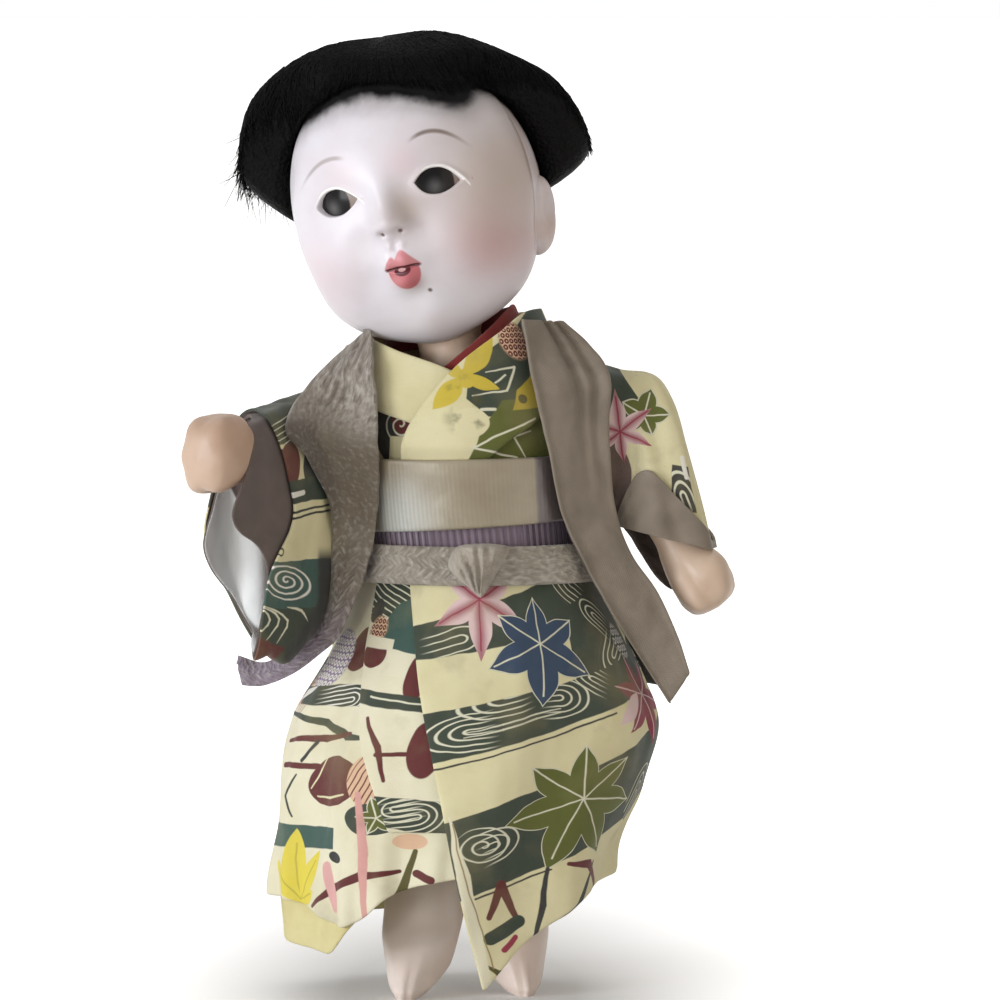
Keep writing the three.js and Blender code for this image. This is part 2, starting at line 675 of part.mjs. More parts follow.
// Sash, pleated band and belt, each a closed loop, with the belt's knot in front
const loop = (low, high, offset, thickness, rows, crown = 0) =>
  sheet(
    (u, v, side) => {
      const bulge = crown * Math.sin(Math.PI * v) * side;
      return onForm(u * 2 * Math.PI, lerp(low, high, v), offset + side * (thickness - crown) + bulge);
    },
    36,
    rows,
    true,
  );
add("sash", loop(SASH_LOW, SASH_TOP, SASH_LAYER, SASH_THICKNESS, 2), silverSilk);
add("pleated_band", loop(BELT_TOP + FIT, PLEATED_TOP, SASH_LAYER, SASH_THICKNESS - 0.2, 1), plumSilk);
add("crepe_belt", loop(BELT_LOW, BELT_TOP, OVER_SKIRT, BELT_THICKNESS, 4, 0.8), greyCrepe);
const KNOT_WIDTH = 14;
const KNOT_HEIGHT = 11;
const KNOT_DEPTH = 5;
const KNOT_X = 3.2;
const knotAngle = frontAngle(KNOT_X, BELT_LOW + BELT_HEIGHT / 2, OVER_BELT);
const knotSeat = onForm(knotAngle, BELT_LOW + BELT_HEIGHT / 2 - 1, OVER_BELT);
const knotBack = new THREE.BoxGeometry(3 * KNOT_WIDTH, KNOT_DEPTH, 3 * KNOT_HEIGHT)
  .translate(knotSeat.x, knotSeat.y + KNOT_DEPTH / 2, knotSeat.z);
const knotLump = new THREE.SphereGeometry(1, 18, 12)
  .scale(KNOT_WIDTH / 2, KNOT_DEPTH, KNOT_HEIGHT / 2)
  .translate(knotSeat.x, knotSeat.y, knotSeat.z);
add("belt_knot", cut(knotLump, knotBack), greyCrepe);

// Skirt: a back, the right front, a hanging pleat, and the left front over them
const SKIRT_TOP = BELT_LOW + BELT_HEIGHT * 0.6;
const backHem = through([[0, 27], [40, 20], [90, 15], [140, 14], [180, 14]]);
const rightHem = through([[180, 14], [205, 12.5], [228, 11], [240, 16], [252, 22], [270, 27], [300, 31]]);
const leftHem = through([[-79, 4.5], [-65, 13], [-52, 18.5], [-35, 24], [0, 27]]);
const leftEdge = through([[4, -80], [44, -96], [SKIRT_TOP, -124]]);
const pleatEdge = through([[37, -111], [HIP_JOINT_HEIGHT + 2, -135], [SKIRT_TOP, -148]]);
const PLEAT_LOW = 38;
const SEAM_GAP = degrees(0.6);
const asDegrees = THREE.MathUtils.radToDeg;
add(
  "skirt_back",
  panel(
    between(SEAM_GAP, Math.PI - SEAM_GAP),
    (u) => backHem(180 * u),
    level(SKIRT_TOP),
    level(0),
    24,
    7,
  ),
  print,
);
add(
  "skirt_right_front",
  panel(
    between(Math.PI + SEAM_GAP, degrees(300)),
    (u) => rightHem(lerp(180, 300, u)),
    level(SKIRT_TOP),
    level(0),
    18,
    7,
  ),
  print,
);
add(
  "skirt_pleat",
  panel(
    (u, z) => degrees(lerp(pleatEdge(z), leftEdge(z) + 9, u)),
    level(PLEAT_LOW),
    level(SKIRT_TOP),
    level(OVER_ONE),
    6,
    8,
  ),
  print,
);
add(
  "skirt_left_front",
  panel(
    (u, z) => lerp(degrees(leftEdge(z)), -SEAM_GAP, u),
    (u) => leftHem(lerp(-80, 0, u)),
    level(SKIRT_TOP),
    (u) => OVER_TWO * (1 - smoothstep(u, 0.72, 1)),
    20,
    8,
  ),
  print,
);

// Jacket body: back and shoulders, open in front, with an armhole on each side
const JACKET_HEM = HIP_JOINT_HEIGHT - 2;
const jacketLift = through([
  [JACKET_HEM, OVER_SKIRT + 0.6],
  [BELT_LOW - 9.5, OVER_BELT - 0.2],
  [BELT_LOW, OVER_BELT + 0.4],
  [BELT_TOP, OVER_BELT + 0.2],
  [SASH_LOW + 4, OVER_SASH + 0.6],
  [SASH_TOP, OVER_SASH + 0.6],
  [SHOULDER_HEIGHT, COLLAR_LAYER + 2 * (BAND_CLOTH + FIT) + 0.3],
  [NECK_JOINT_HEIGHT + 4, COLLAR_LAYER + 2 * (BAND_CLOTH + FIT) + 0.8],
  [NECK_JOINT_HEIGHT + 11, COLLAR_LAYER + 2 * (BAND_CLOTH + FIT) + 0.4],
]);
// How far the jacket reaches round each side, in degrees from the side towards the back
const jacketReach = through([
  [JACKET_HEM, 4],
  [PLATE_LOW - 5, 4],
  [PLATE_LOW + 3, 12],
  [SHOULDER_HEIGHT - 4, 32],
  [SHOULDER_HEIGHT + 4, 32],
  [SHOULDER_HEIGHT + 8, 8],
  [NECK_JOINT_HEIGHT + 1, -20],
  [NECK_JOINT_HEIGHT + 5, -24],
]);
add(
  "jacket_body",
  panel(
    (u, z) => lerp(degrees(jacketReach(z)), Math.PI - degrees(jacketReach(z)), u),
    level(JACKET_HEM),
    level(NECK_JOINT_HEIGHT + 5),
    (u, z) => jacketLift(z),
    18,
    16,
  ),
  print,
);

// Lapels: ribbons between a neck-side edge and an outer edge.
// Each row is x and z of the neck-side edge, x and z of the outer edge, and how far both stand off the form.
// A free-hanging stretch also has the y of its outer edge, and then of its neck-side edge.
function ribbon(name, rows, material) {
  const edge = (first, depth) => {
    const points = rows.map((row) => {
      const [x, z] = row.slice(first, first + 2);
      const lift = jacketLift(z) + row[4];
      const place = onForm(frontAngle(x, z, lift), z, lift);
      return V(x, row[depth] ?? place.y, z);
    });
    return new THREE.CatmullRomCurve3(points);
  };
  const inner = edge(0, 6);
  const outer = edge(2, 5);
  const middle = (u, v) => inner.getPoint(u).lerp(outer.getPoint(u), v);
  const normal = (u, v) => {
    const step = 1e-3;
    const a = THREE.MathUtils.clamp(u, step, 1 - step);
    const along = middle(a + step, v).sub(middle(a - step, v));
    const across = outer.getPoint(a).sub(inner.getPoint(a));
    const out = along.cross(across).normalize();
    return out.y > 0 ? out.negate() : out;
  };
  add(
    name,
    sheet((u, v, side) => middle(u, v).addScaledVector(normal(u, v), side * BAND_CLOTH), 22, 2),
    material,
  );
}
const COLLAR_END = NECK_JOINT_HEIGHT;
ribbon(
  "jacket_right_lapel",
  [
    [-16.5, COLLAR_END + 3.5, -22, COLLAR_END + 2, 0.4],
    [-18, SHOULDER_HEIGHT + 3, -24.4, SHOULDER_HEIGHT + 2.5, 0.6],
    [-18.2, SASH_TOP, -24.5, SASH_TOP, 0.6],
    [-18.3, SASH_LOW + 4, -25.4, SASH_LOW + 4, 0.8],
    [-18.8, BELT_LOW + 6.5, -27.5, BELT_LOW + 7.5, 1],
    [-23.5, BELT_LOW - 3.5, -31.5, BELT_LOW + 0.5, 0.8],
    [-31, BELT_LOW - 12.5, -37.5, BELT_LOW - 6.5, 0.8, -11, -11],
    [-38.5, BELT_LOW - 18.5, -42.5, BELT_LOW - 11.5, 0.8, -8, -8],
    [-45, BELT_LOW - 22.5, -47.5, BELT_LOW - 15, 0.8, -5, -5],
  ],
  greyCrepe,
);
ribbon(
  "jacket_left_lapel",
  [
    [11.8, COLLAR_END + 7.5, 17, COLLAR_END + 6, 0.4],
    [14.5, SHOULDER_HEIGHT + 4, 25, SHOULDER_HEIGHT + 4.5, 0.6],
    [17.5, SASH_TOP, 28.8, SASH_TOP, 0.6, -10],
    [20, SASH_LOW + 3, 30.6, SASH_LOW + 3, 0.5, -11],
    [24, BELT_LOW + 3.5, 35, BELT_LOW + 5, 0.5, -12],
    [30, BELT_LOW - 7.5, 40.5, BELT_LOW - 3.5, 0.8, -13],
    [37, BELT_LOW - 17.5, 44.5, BELT_LOW - 13, 0.8, -14],
    [42, BELT_LOW - 25, 47, BELT_LOW - 21, 0.8, -14, -14],
  ],
  greySilk,
);

// Sleeves: rings from the armhole to the cuff, each between a low and a high point, flattened sideways
function sleeve(name, ringAt, from, to, shrink, thickness, material, columns = 16, rows = 6) {
  add(
    name,
    sheet(
      (u, v, side) => {
        const { low, high, across, half } = ringAt(lerp(from, to, v));
        const inset = shrink + (1 - side) * thickness;
        const middle = low.clone().lerp(high, 0.5);
        const up = high.clone().sub(middle);
        const reach = up.length();
        up.normalize();
        const c = Math.cos(2 * Math.PI * u);
        const s = Math.sin(2 * Math.PI * u);
        const square = (c ** 4 + s ** 4) ** -0.25; // a flat bag with rounded corners
        return middle
          .addScaledVector(up, (reach - inset) * s * square)
          .addScaledVector(across, (half - inset) * c * square);
      },
      columns,
      rows,
      true,
    ),
    material,
  );
}
const LINING_GAP = CLOTH + FIT;
const SLEEVE_HEADROOM = ARM_RADIUS + LINING_GAP + CLOTH + FIT + 0.3; // the lining rests on the arm

// The right sleeve hangs as a bag below the raised arm.
const rightAcross = V(-rightArmAim.y, rightArmAim.x, 0).normalize();
const rightAlong = (share) => lerp(ARM_BALL + 3.4, 33, share);
const bagLow = through([[0, -13], [0.2, -24], [0.42, -41], [0.72, -46], [1, -37]]);
const bagHalf = through([[0, 6.4], [0.5, 7.6], [1, 8.6]]);
function rightRing(share) {
  const middle = rightShoulder.clone().addScaledVector(rightArmAim, rightAlong(share));
  return {
    low: middle.clone().add(V(0, 0, bagLow(share))),
    high: middle.clone().add(V(0, 0, SLEEVE_HEADROOM)),
    across: rightAcross,
    half: bagHalf(share),
  };
}
sleeve("right_sleeve", rightRing, 0, 1, 0, CLOTH, print);
sleeve("right_sleeve_lining", rightRing, 0, 1, LINING_GAP, CLOTH, greySilk);

// The left sleeve bends over the shoulder and hangs round the lowered arm.
// Both edges of the left sleeve, from the shoulder joint
const leftInner = [V(5.6, -1, -20), V(6, -1.5, -22), V(6.6, -2, -23.5), V(7.2, -2.5, -25)];
const leftOuter = [V(5.8, 0, 8.5), V(18, -1, 5.5), V(24, -2, -8), V(27.6, -3.2, -29.5)];
const leftInnerEdge = new THREE.CatmullRomCurve3(leftInner.map((p) => p.add(leftShoulder)));
const leftOuterEdge = new THREE.CatmullRomCurve3(leftOuter.map((p) => p.add(leftShoulder)));
const leftHalf = through([[0, 7.8], [0.5, 9], [1, 9.2]]);
function leftRing(share) {
  return {
    low: leftInnerEdge.getPoint(share),
    high: leftOuterEdge.getPoint(share),
    across: V(0, 1, 0),
    half: leftHalf(share),
  };
}
sleeve("left_sleeve", leftRing, 0, 1, 0, CLOTH, print);
sleeve("left_sleeve_lining", leftRing, 0, 1, LINING_GAP, CLOTH, greySilk);
sleeve("left_cuff_fold", leftRing, 4 / 6, 1, -FIT - CLOTH, CLOTH, greySilk, 16, 2);

// The origin goes to the middle of the doll's box, on the floor.
const box = new THREE.Box3().setFromObject(doll, true);
const middle = box.getCenter(new THREE.Vector3());
doll.position.set(-middle.x, -middle.y, -box.min.z);

export default doll;
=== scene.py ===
import json
import math
import random

import bmesh
import bpy
from mathutils import Matrix, Vector, noise
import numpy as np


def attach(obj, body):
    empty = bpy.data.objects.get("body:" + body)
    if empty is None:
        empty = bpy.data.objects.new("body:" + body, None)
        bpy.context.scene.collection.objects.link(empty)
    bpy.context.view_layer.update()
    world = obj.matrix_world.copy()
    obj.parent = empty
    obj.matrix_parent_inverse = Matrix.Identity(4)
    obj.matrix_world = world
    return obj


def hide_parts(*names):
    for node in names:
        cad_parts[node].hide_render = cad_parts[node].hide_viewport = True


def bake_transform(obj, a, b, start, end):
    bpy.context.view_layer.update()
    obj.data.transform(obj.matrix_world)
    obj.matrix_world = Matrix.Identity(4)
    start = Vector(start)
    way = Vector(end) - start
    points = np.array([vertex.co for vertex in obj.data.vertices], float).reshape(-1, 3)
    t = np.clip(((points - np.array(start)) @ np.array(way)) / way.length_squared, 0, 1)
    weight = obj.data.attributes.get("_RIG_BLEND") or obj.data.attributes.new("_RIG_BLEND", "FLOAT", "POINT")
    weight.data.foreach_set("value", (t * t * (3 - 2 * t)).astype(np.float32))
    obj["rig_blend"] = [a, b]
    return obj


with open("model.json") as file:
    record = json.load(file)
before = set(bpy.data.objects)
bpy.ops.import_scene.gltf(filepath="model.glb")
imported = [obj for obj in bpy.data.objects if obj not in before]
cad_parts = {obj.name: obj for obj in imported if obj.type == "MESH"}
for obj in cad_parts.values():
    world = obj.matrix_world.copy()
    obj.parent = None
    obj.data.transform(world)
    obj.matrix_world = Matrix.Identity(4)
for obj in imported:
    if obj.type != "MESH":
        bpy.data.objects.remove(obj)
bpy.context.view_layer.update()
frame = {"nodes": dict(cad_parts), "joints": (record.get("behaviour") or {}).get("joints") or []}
scene = bpy.context.scene

MM = 0.001
TAU = 2 * math.pi
NECK_JOINT = Vector((-2, 0, 136))
neck_turn = next(joint for joint in frame["joints"] if joint["name"] == "neck_turn")
ORIGIN = Vector(neck_turn["pos_m"]) - NECK_JOINT * MM


def place(point):
    """A point of the doll in the row frame, in metres."""
    return ORIGIN + Vector(point) * MM


# Numbers
def clamp(value, low=0.0, high=1.0):
    return min(max(value, low), high)


def mix(a, b, share):
    return a + (b - a) * share


def smooth(value, low, high):
    share = clamp((value - low) / (high - low))
    return share * share * (3 - 2 * share)


def bell(across, up, spread):
    return math.exp(-(across * across + up * up) / (2 * spread * spread))


def crease(point, size, seed=0.0):
    """Soft random height from -1 to 1 that changes over the given size."""
    return noise.noise(Vector(point) / size + Vector((seed, 2 * seed, 3 * seed)))


def through(stations):
    """A smooth function through (t, value) stations, flat beyond both ends."""
    last = len(stations) - 1

    def slope(i):
        t0, v0 = stations[max(i - 1, 0)]
        t1, v1 = stations[min(i + 1, last)]
        return (v1 - v0) / (t1 - t0)

    def value(t):
        if t <= stations[0][0]:
            return stations[0][1]
        for i in range(last):
            t0, v0 = stations[i]
            t1, v1 = stations[i + 1]
            if t > t1:
                continue
            span = t1 - t0
            s = (t - t0) / span
            keep = 2 * s**3 - 3 * s**2 + 1
            leave = (s**3 - 2 * s**2 + s) * span * slope(i)
            arrive = (s**3 - s**2) * span * slope(i + 1)
            return keep * v0 + leave + (1 - keep) * v1 + arrive
        return stations[last][1]

    return value


def curve_through(points):
    """A smooth curve through points, from share 0 to 1."""
    last = len(points) - 1
    tracks = [through([(i / last, p[k]) for i, p in enumerate(points)]) for k in range(len(points[0]))]
    return lambda share: Vector([track(clamp(share)) for track in tracks])


# The form that the clothes lie on: height, middle, half width, half depth
FORM = (
    (3, -3, 36, 31),
    (30, -2.5, 37, 30.5),
    (46, -0.5, 38, 29.5),
    (60, 2, 38, 27.5),
    (75, 3.2, 31.5, 24),
    (93.2, 2.2, 22.8, 18.6),
    (105, 1, 22.3, 17.6),
    (118.2, 0, 23, 17.4),
    (126, -1, 24, 16.6),
    (131, -1.5, 23, 15.5),
    (136, -2, 19.8, 14.2),
    (141, -2, 16.4, 13),
    (147, -2, 14, 12.4),
    (151, -2, 13, 12.2),
)
form_middle, form_half_width, form_half_depth = (
    through([(row[0], row[k]) for row in FORM]) for k in (1, 2, 3)
)
BELT_LOW, BELT_TOP = 89.5, 96.9
FOLD_DEPTH, FOLD_COUNT = 1.1, 9
SLACK, SLACK_SIZE = 2.1, 12  # loose creases that all the layers of the skirt share
LEFT_TUCK, TUCK_FROM = 3.4, 48  # how far the hem is drawn in at the doll's left, and below what height


def on_form(angle, z, offset):
    """A point over the form. Angle 0 is the doll's left side, and -90 degrees its front."""
    fold = FOLD_DEPTH * smooth(BELT_LOW - z, 8, 60) * math.cos(FOLD_COUNT * angle + 0.6)
    if z < BELT_LOW:
        spot = (30 * math.cos(angle), 30 * math.sin(angle), 0.6 * z)
        fold += SLACK * smooth(BELT_LOW - z, 2, 30) * crease(spot, SLACK_SIZE, 31)
    tuck = LEFT_TUCK * smooth(TUCK_FROM - z, 0, 18) * smooth(math.cos(angle), 0.4, 0.95)
    out = offset + fold - tuck
    x = form_middle(z) + (form_half_width(z) + out) * math.cos(angle)
    return Vector((x, (form_half_depth(z) + out) * math.sin(angle), z))


def front_angle(x, z, offset):
    share = (x - form_middle(z)) / (form_half_width(z) + offset)
    return -math.acos(clamp(share, -0.995, 0.995))


# Mesh pieces
def piece(name, bm, body, slot, nodes, *materials):
    """A finished mesh that rides on a body and stands for CAD nodes."""
    mesh = bpy.data.meshes.new(name)
    bm.to_mesh(mesh)
    bm.free()
    mesh.polygons.foreach_set("use_smooth", [True] * len(mesh.polygons))
    for material in materials:
        mesh.materials.append(material)
    obj = bpy.data.objects.new(name, mesh)
    scene.collection.objects.link(obj)
    if isinstance(body, str):
        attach(obj, body)
    else:
        first, second, start, end = body
        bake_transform(obj, first, second, place(start), place(end))
    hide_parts(*nodes)
    return obj


def moulded(shape, columns, rows):
    """A closed solid: shape(angle, share) is its point round its axis at a share from top to bottom."""
    bm = bmesh.new()
    bmesh.ops.create_uvsphere(bm, u_segments=columns, v_segments=rows, radius=1)
    for vert in bm.verts:
        angle = math.atan2(vert.co.y, vert.co.x)
        share = math.acos(clamp(vert.co.z, -1, 1)) / math.pi
        vert.co = place(shape(angle, share))
    bmesh.ops.recalc_face_normals(bm, faces=bm.faces)
    return bm


UV_MM = 100  # millimetres of cloth in one UV unit
CLOTH = 0.8  # how far a cloth's outer side lies over what is under it
SILK = 0.7  # thickness of one layer of silk


def sheet_mesh(surface, columns, rows, flat_at, closed=False, flip=False):
    """A grid laid on surface(u, v), with its flat pattern place as its UV map."""
    bm = bmesh.new()
    bmesh.ops.create_grid(bm, x_segments=columns, y_segments=rows, size=0.5)
    layer = bm.loops.layers.uv.new("cloth")
    for face in bm.faces:
        for loop in face.loops:
            at = flat_at(loop.vert.co.x + 0.5, loop.vert.co.y + 0.5)
            loop[layer].uv = (at[0] / UV_MM, at[1] / UV_MM)
    for vert in bm.verts:
        vert.co = place(surface(vert.co.x + 0.5, vert.co.y + 0.5))
    if closed:
        bmesh.ops.remove_doubles(bm, verts=bm.verts, dist=1e-6)
    if flip:
        bmesh.ops.reverse_faces(bm, faces=bm.faces)
    return bm


def thicken(obj, name, thickness):
    """Gives a shell its wall, towards its inner side."""
    wall = obj.modifiers.new(name, "SOLIDIFY")
    wall.thickness = thickness * MM
    wall.offset = -1
    return wall


def sewn(name, mesh, nodes, body, slot, sides, thickness=SILK, levels=1):
    """A sheet of cloth with an outer and an inner side, and soft edges."""
    obj = piece(name, mesh, body, slot, nodes, *sides)
    thicken(obj, "cloth", thickness).material_offset = 1
    round_off = obj.modifiers.new("round_off", "SUBSURF")
    round_off.levels = round_off.render_levels = levels


# Shading: numbers that vary over a surface, written as plain arithmetic
class Field:
    """A number at each point of a surface."""

    def __init__(self, finish, socket):
        self.finish = finish
        self.socket = socket

    def math(self, operation, *others, limit=False):
        node = self.finish.nodes.new("ShaderNodeMath")
        node.operation = operation
        node.use_clamp = limit
        for socket, value in zip(node.inputs, (self, *others)):
            self.finish.feed(socket, value)
        return Field(self.finish, node.outputs[0])

    def __add__(self, other):
        return self.math("ADD", other)

    def __sub__(self, other):
        return self.math("SUBTRACT", other)

    def __mul__(self, other):
        return self.math("MULTIPLY", other)

    def __truediv__(self, other):
        return self.math("DIVIDE", other)

    def __neg__(self):
        return self * -1

    def __abs__(self):
        return self.math("ABSOLUTE")

    def __pow__(self, other):
        return self.math("POWER", other)

    def sin(self):
        return self.math("SINE")

    def cos(self):
        return self.math("COSINE")

    def sqrt(self):
        return self.math("SQRT")

    def fract(self):
        return self.math("FRACT")

    def floor(self):
        return self.math("FLOOR")

    def rise(self, low, high):
        """0 below low, 1 above high, smooth between."""
        node = self.finish.nodes.new("ShaderNodeMapRange")
        node.interpolation_type = "SMOOTHSTEP"
        for name, value in (("Value", self), ("From Min", low), ("From Max", high)):
            self.finish.feed(node.inputs[name], value)
        return Field(self.finish, node.outputs[0])

    def under(self, limit, blur=0.12):
        """1 where the number is less than the limit, with a soft edge."""
        return -(self - limit).rise(-blur, blur) + 1


def dye(red, green, blue):
    """A colour from its screen values, 0 to 255."""
    def linear(value):
        share = value / 255
        return share / 12.92 if share <= 0.04045 else ((share + 0.055) / 1.055) ** 2.4

    return (linear(red), linear(green), linear(blue), 1)


class Finish:
    """A material with its nodes."""

    def __init__(self, name, colour, sheen=0.0, coat=0.0, specular=0.5):
        self.material = bpy.data.materials.new(name)
        self.material.use_nodes = True
        self.nodes = self.material.node_tree.nodes
        self.links = self.material.node_tree.links
        self.shader = self.nodes["Principled BSDF"]
        self.shader.inputs["Sheen Weight"].default_value = sheen
        self.shader.inputs["Coat Weight"].default_value = coat
        self.shader.inputs["Specular IOR Level"].default_value = specular
        self.colour = colour
        self.roughness = 0.6
        self.height = None
        self.coordinates = self.nodes.new("ShaderNodeTexCoord")

    def feed(self, socket, value):
        if isinstance(value, Field):
            self.links.new(value.socket, socket)
        elif isinstance(value, bpy.types.NodeSocket):
            self.links.new(value, socket)
        else:
            socket.default_value = value

    def noise(self, size, detail=2.0, vector=None):
        """Noise from about 0.25 to 0.75 that changes over a size in millimetres."""
        node = self.nodes.new("ShaderNodeTexNoise")
        self.feed(node.inputs["Vector"], vector or self.coordinates.outputs["Object"])
        node.inputs["Scale"].default_value = 1 / (size * MM) if vector is None else UV_MM / size
        node.inputs["Detail"].default_value = detail
        return Field(self, node.outputs[0])

    def over(self, colour, mask):
        """Paints a colour where the mask is 1."""
        node = self.nodes.new("ShaderNodeMix")
        node.data_type = "RGBA"
        self.feed(node.inputs["Factor"], mask)
        for socket, value in zip([s for s in node.inputs if s.type == "RGBA"], (self.colour, colour)):
            self.feed(socket, value)
        self.colour = next(s for s in node.outputs if s.type == "RGBA")
        return self

    def grain(self, a, b):
        """Noise from about 0.25 to 0.75 over two numbers, with one grain to a unit."""
        node = self.nodes.new("ShaderNodeCombineXYZ")
        self.feed(node.inputs[0], a)
        self.feed(node.inputs[1], b)
        speck = self.nodes.new("ShaderNodeTexNoise")
        speck.inputs["Scale"].default_value = 1
        speck.inputs["Detail"].default_value = 1
        self.links.new(node.outputs[0], speck.inputs["Vector"])
        return Field(self, speck.outputs[0])

    def attribute(self, name):
        node = self.nodes.new("ShaderNodeAttribute")
        node.attribute_name = name
        return Field(self, node.outputs["Fac"])

    def raised(self, height):
        """Adds to the fine relief, in millimetres."""
        self.height = height if self.height is None else self.height + height
        return self

    def done(self):
        self.feed(self.shader.inputs["Base Color"], self.colour)
        self.feed(self.shader.inputs["Roughness"], self.roughness)
        if self.height is not None:
            bump = self.nodes.new("ShaderNodeBump")
            bump.inputs["Distance"].default_value = MM
            self.feed(bump.inputs["Height"], self.height)
            self.links.new(bump.outputs[0], self.shader.inputs["Normal"])
        return self.material


def as_laid(across, up):
    """A place that is already on the flat cloth."""
    return across, up


class Print(Finish):
    """Cloth with motifs, in millimetres. Its layout turns a motif's place into one on the flat cloth."""

    def __init__(self, name, ground, shade, sheen=0.15, layout=as_laid, repeat=None):
        super().__init__(name, ground, sheen)
        self.layout = layout
        uv = self.coordinates.outputs["UV"]
        split = self.nodes.new("ShaderNodeSeparateXYZ")
        self.links.new(uv, split.inputs[0])
        self.flat = uv
        self.thread_u = Field(self, split.outputs[0]) * UV_MM
        self.thread_v = Field(self, split.outputs[1]) * UV_MM
        self.u = self.thread_u + (self.noise(9, 2, uv) - 0.5) * 1.1
        self.v = self.thread_v + (self.noise(7, 2, uv) - 0.5) * 1.1
        if repeat:
            row = (self.v / repeat[1]).floor()
            self.u = ((self.u + row * repeat[0] * 0.5) / repeat[0]).fract() * repeat[0]
            self.v = (self.v / repeat[1]).fract() * repeat[1]
        self.over(shade, (self.noise(14, 4, uv) - 0.42) * 1.9)

    def woven(self, pitch=0.5, depth=0.03, crinkle=0.12):
        """Threads and faint creases."""
        threads = (self.thread_u * (TAU / pitch)).sin() * (self.thread_v * (TAU / pitch)).sin()
        self.raised(threads * depth)
        self.raised((self.noise(6, 5, self.flat) - 0.5) * crinkle)
        self.roughness = self.noise(4, 3, self.flat) * 0.25 + 0.6
        return self

    def aged(self):
        """Faded and lightly stained dye."""
        fade = (self.noise(22, 5, self.flat) - 0.5) * 1.2
        self.over(dye(186, 174, 128), fade.math("MINIMUM", 0.2, limit=True))
        stain = (self.noise(11, 6, self.flat) - 0.58) * 1.6
        self.over(dye(92, 80, 52), stain.math("MINIMUM", 0.22, limit=True))
        return self

    def beside(self, at):
        """How far each point of the cloth lies across and up from a place."""
        u, v = self.layout(*at)
        return self.u - u, self.v - v

    def polar(self, at):
        across, up = self.beside(at)
        radius = (across * across + up * up).sqrt()
        return radius, up.math("ARCTAN2", across)

    def disc(self, at, radius, colour, squash=1.0, turn=0.0):
        a, b = self.turned(at, turn)
        b = b / squash
        mask = (a * a + b * b).sqrt().under(radius)
        self.over(colour, mask)
        return mask

    def patch(self, corners, colour):
        """A flat patch with straight sides. Its corners run clockwise, each (across, up)."""
        mask = None
        spots = [self.layout(*corner) for corner in corners]
        for (u0, v0), (u1, v1) in zip(spots, spots[1:] + spots[:1]):
            run, climb = u1 - u0, v1 - v0
            side = math.hypot(run, climb)
            inside = ((self.u - u0) * (climb / side) - (self.v - v0) * (run / side)).rise(-0.12, 0.12)
            mask = mask * inside if mask else inside
        self.over(colour, mask)
        return mask

    def lobe(self, base, tip, half_width, colour):
        """One pointed lobe of a leaf."""
        (u0, v0), (u1, v1) = self.layout(*base), self.layout(*tip)
        run, climb = u1 - u0, v1 - v0
        length = math.hypot(run, climb)
        along, aside = self.turned(base, math.atan2(climb, run))
        share = along / length * 2 - 1
        return self.over(colour, (abs(aside) - (-(share * share) + 1) * half_width).under(0))

    def bar(self, start, end, width, colour, end_width=None):
        """A straight brush stroke between two places."""
        return self.line(self.layout(*start), self.layout(*end), width, colour, end_width)

    def line(self, start, end, width, colour, end_width=None):
        """A straight brush stroke between two points of the flat cloth."""
        run, climb = end[0] - start[0], end[1] - start[1]
        across = self.u - start[0]
        up = self.v - start[1]
        share = (across * run + up * climb).math("DIVIDE", run * run + climb * climb, limit=True)
        a = across - share * run
        b = up - share * climb
        half = share * ((end_width or width) - width) * 0.5 + width / 2
        return self.over(colour, ((a * a + b * b).sqrt() - half).under(0))

    def stroke(self, points, width, colour, pieces=1):
        """A brush stroke through places, thin at both ends, with straight pieces between each two."""
        curve = curve_through([self.layout(*point) for point in points])
        last = pieces * (len(points) - 1)
        spots = [curve(i / last) for i in range(last + 1)]
        widths = [width * (0.1 + 1.1 * math.sin(math.pi * (i + 0.5) / (last + 1))) for i in range(last + 1)]
        for i in range(last):
            self.line(spots[i], spots[i + 1], widths[i], colour, widths[i + 1])
        return self

    def band(self, left_low, left_high, right_low, right_high, colour, fade=None):
        """A slanting stream between two banks. Fade is where on the flat cloth it starts and ends."""
        def bank(left, right):
            (u0, v0), (u1, v1) = self.layout(*left), self.layout(*right)
            return self.v - (self.u - u0) * ((v1 - v0) / (u1 - u0)) - v0

        mask = bank(left_low, right_low).rise(-0.15, 0.15) * bank(left_high, right_high).under(0)
        if fade:
            mask = mask * (self.u - fade[0]).rise(-0.3, 0.3) * (self.u - fade[1]).under(0)
        self.over(colour, mask)
        return mask

    def maple(self, at, size, turn, fill, vein, lobes=7, notch=0.5, heart=None, outline=True):
        """A maple leaf with straight-edged pointed lobes, veins, and a tinted middle to each lobe."""
        radius, angle = self.polar(at)
        swing = angle - turn
        half = math.pi / lobes
        off_axis = abs((swing * (lobes / TAU) + 0.5).fract() - 0.5) * (TAU / lobes)
        straight = off_axis.cos() * (notch * math.sin(half)) + off_axis.sin() * (1 - notch * math.cos(half))
        bulge = (off_axis * (math.pi / half)).sin() * 0.09
        uneven = swing.cos() * 0.14 + 0.86
        reach = (bulge + straight.math("DIVIDE", notch * math.sin(half)) ** -1) * uneven * size
        edge = radius - reach
        leaf = edge.under(0)
        self.over(fill, leaf)
        from_axis = off_axis * radius
        if heart:
            self.over(heart, (-(from_axis / (0.16 * size)) + 1).rise(0, 1) * leaf * 0.75)
        self.over(vein, from_axis.under(0.16) * radius.under(0.84 * size) * leaf)
        if outline:
            self.over(vein, abs(edge + 0.15).under(0.14))
        return self

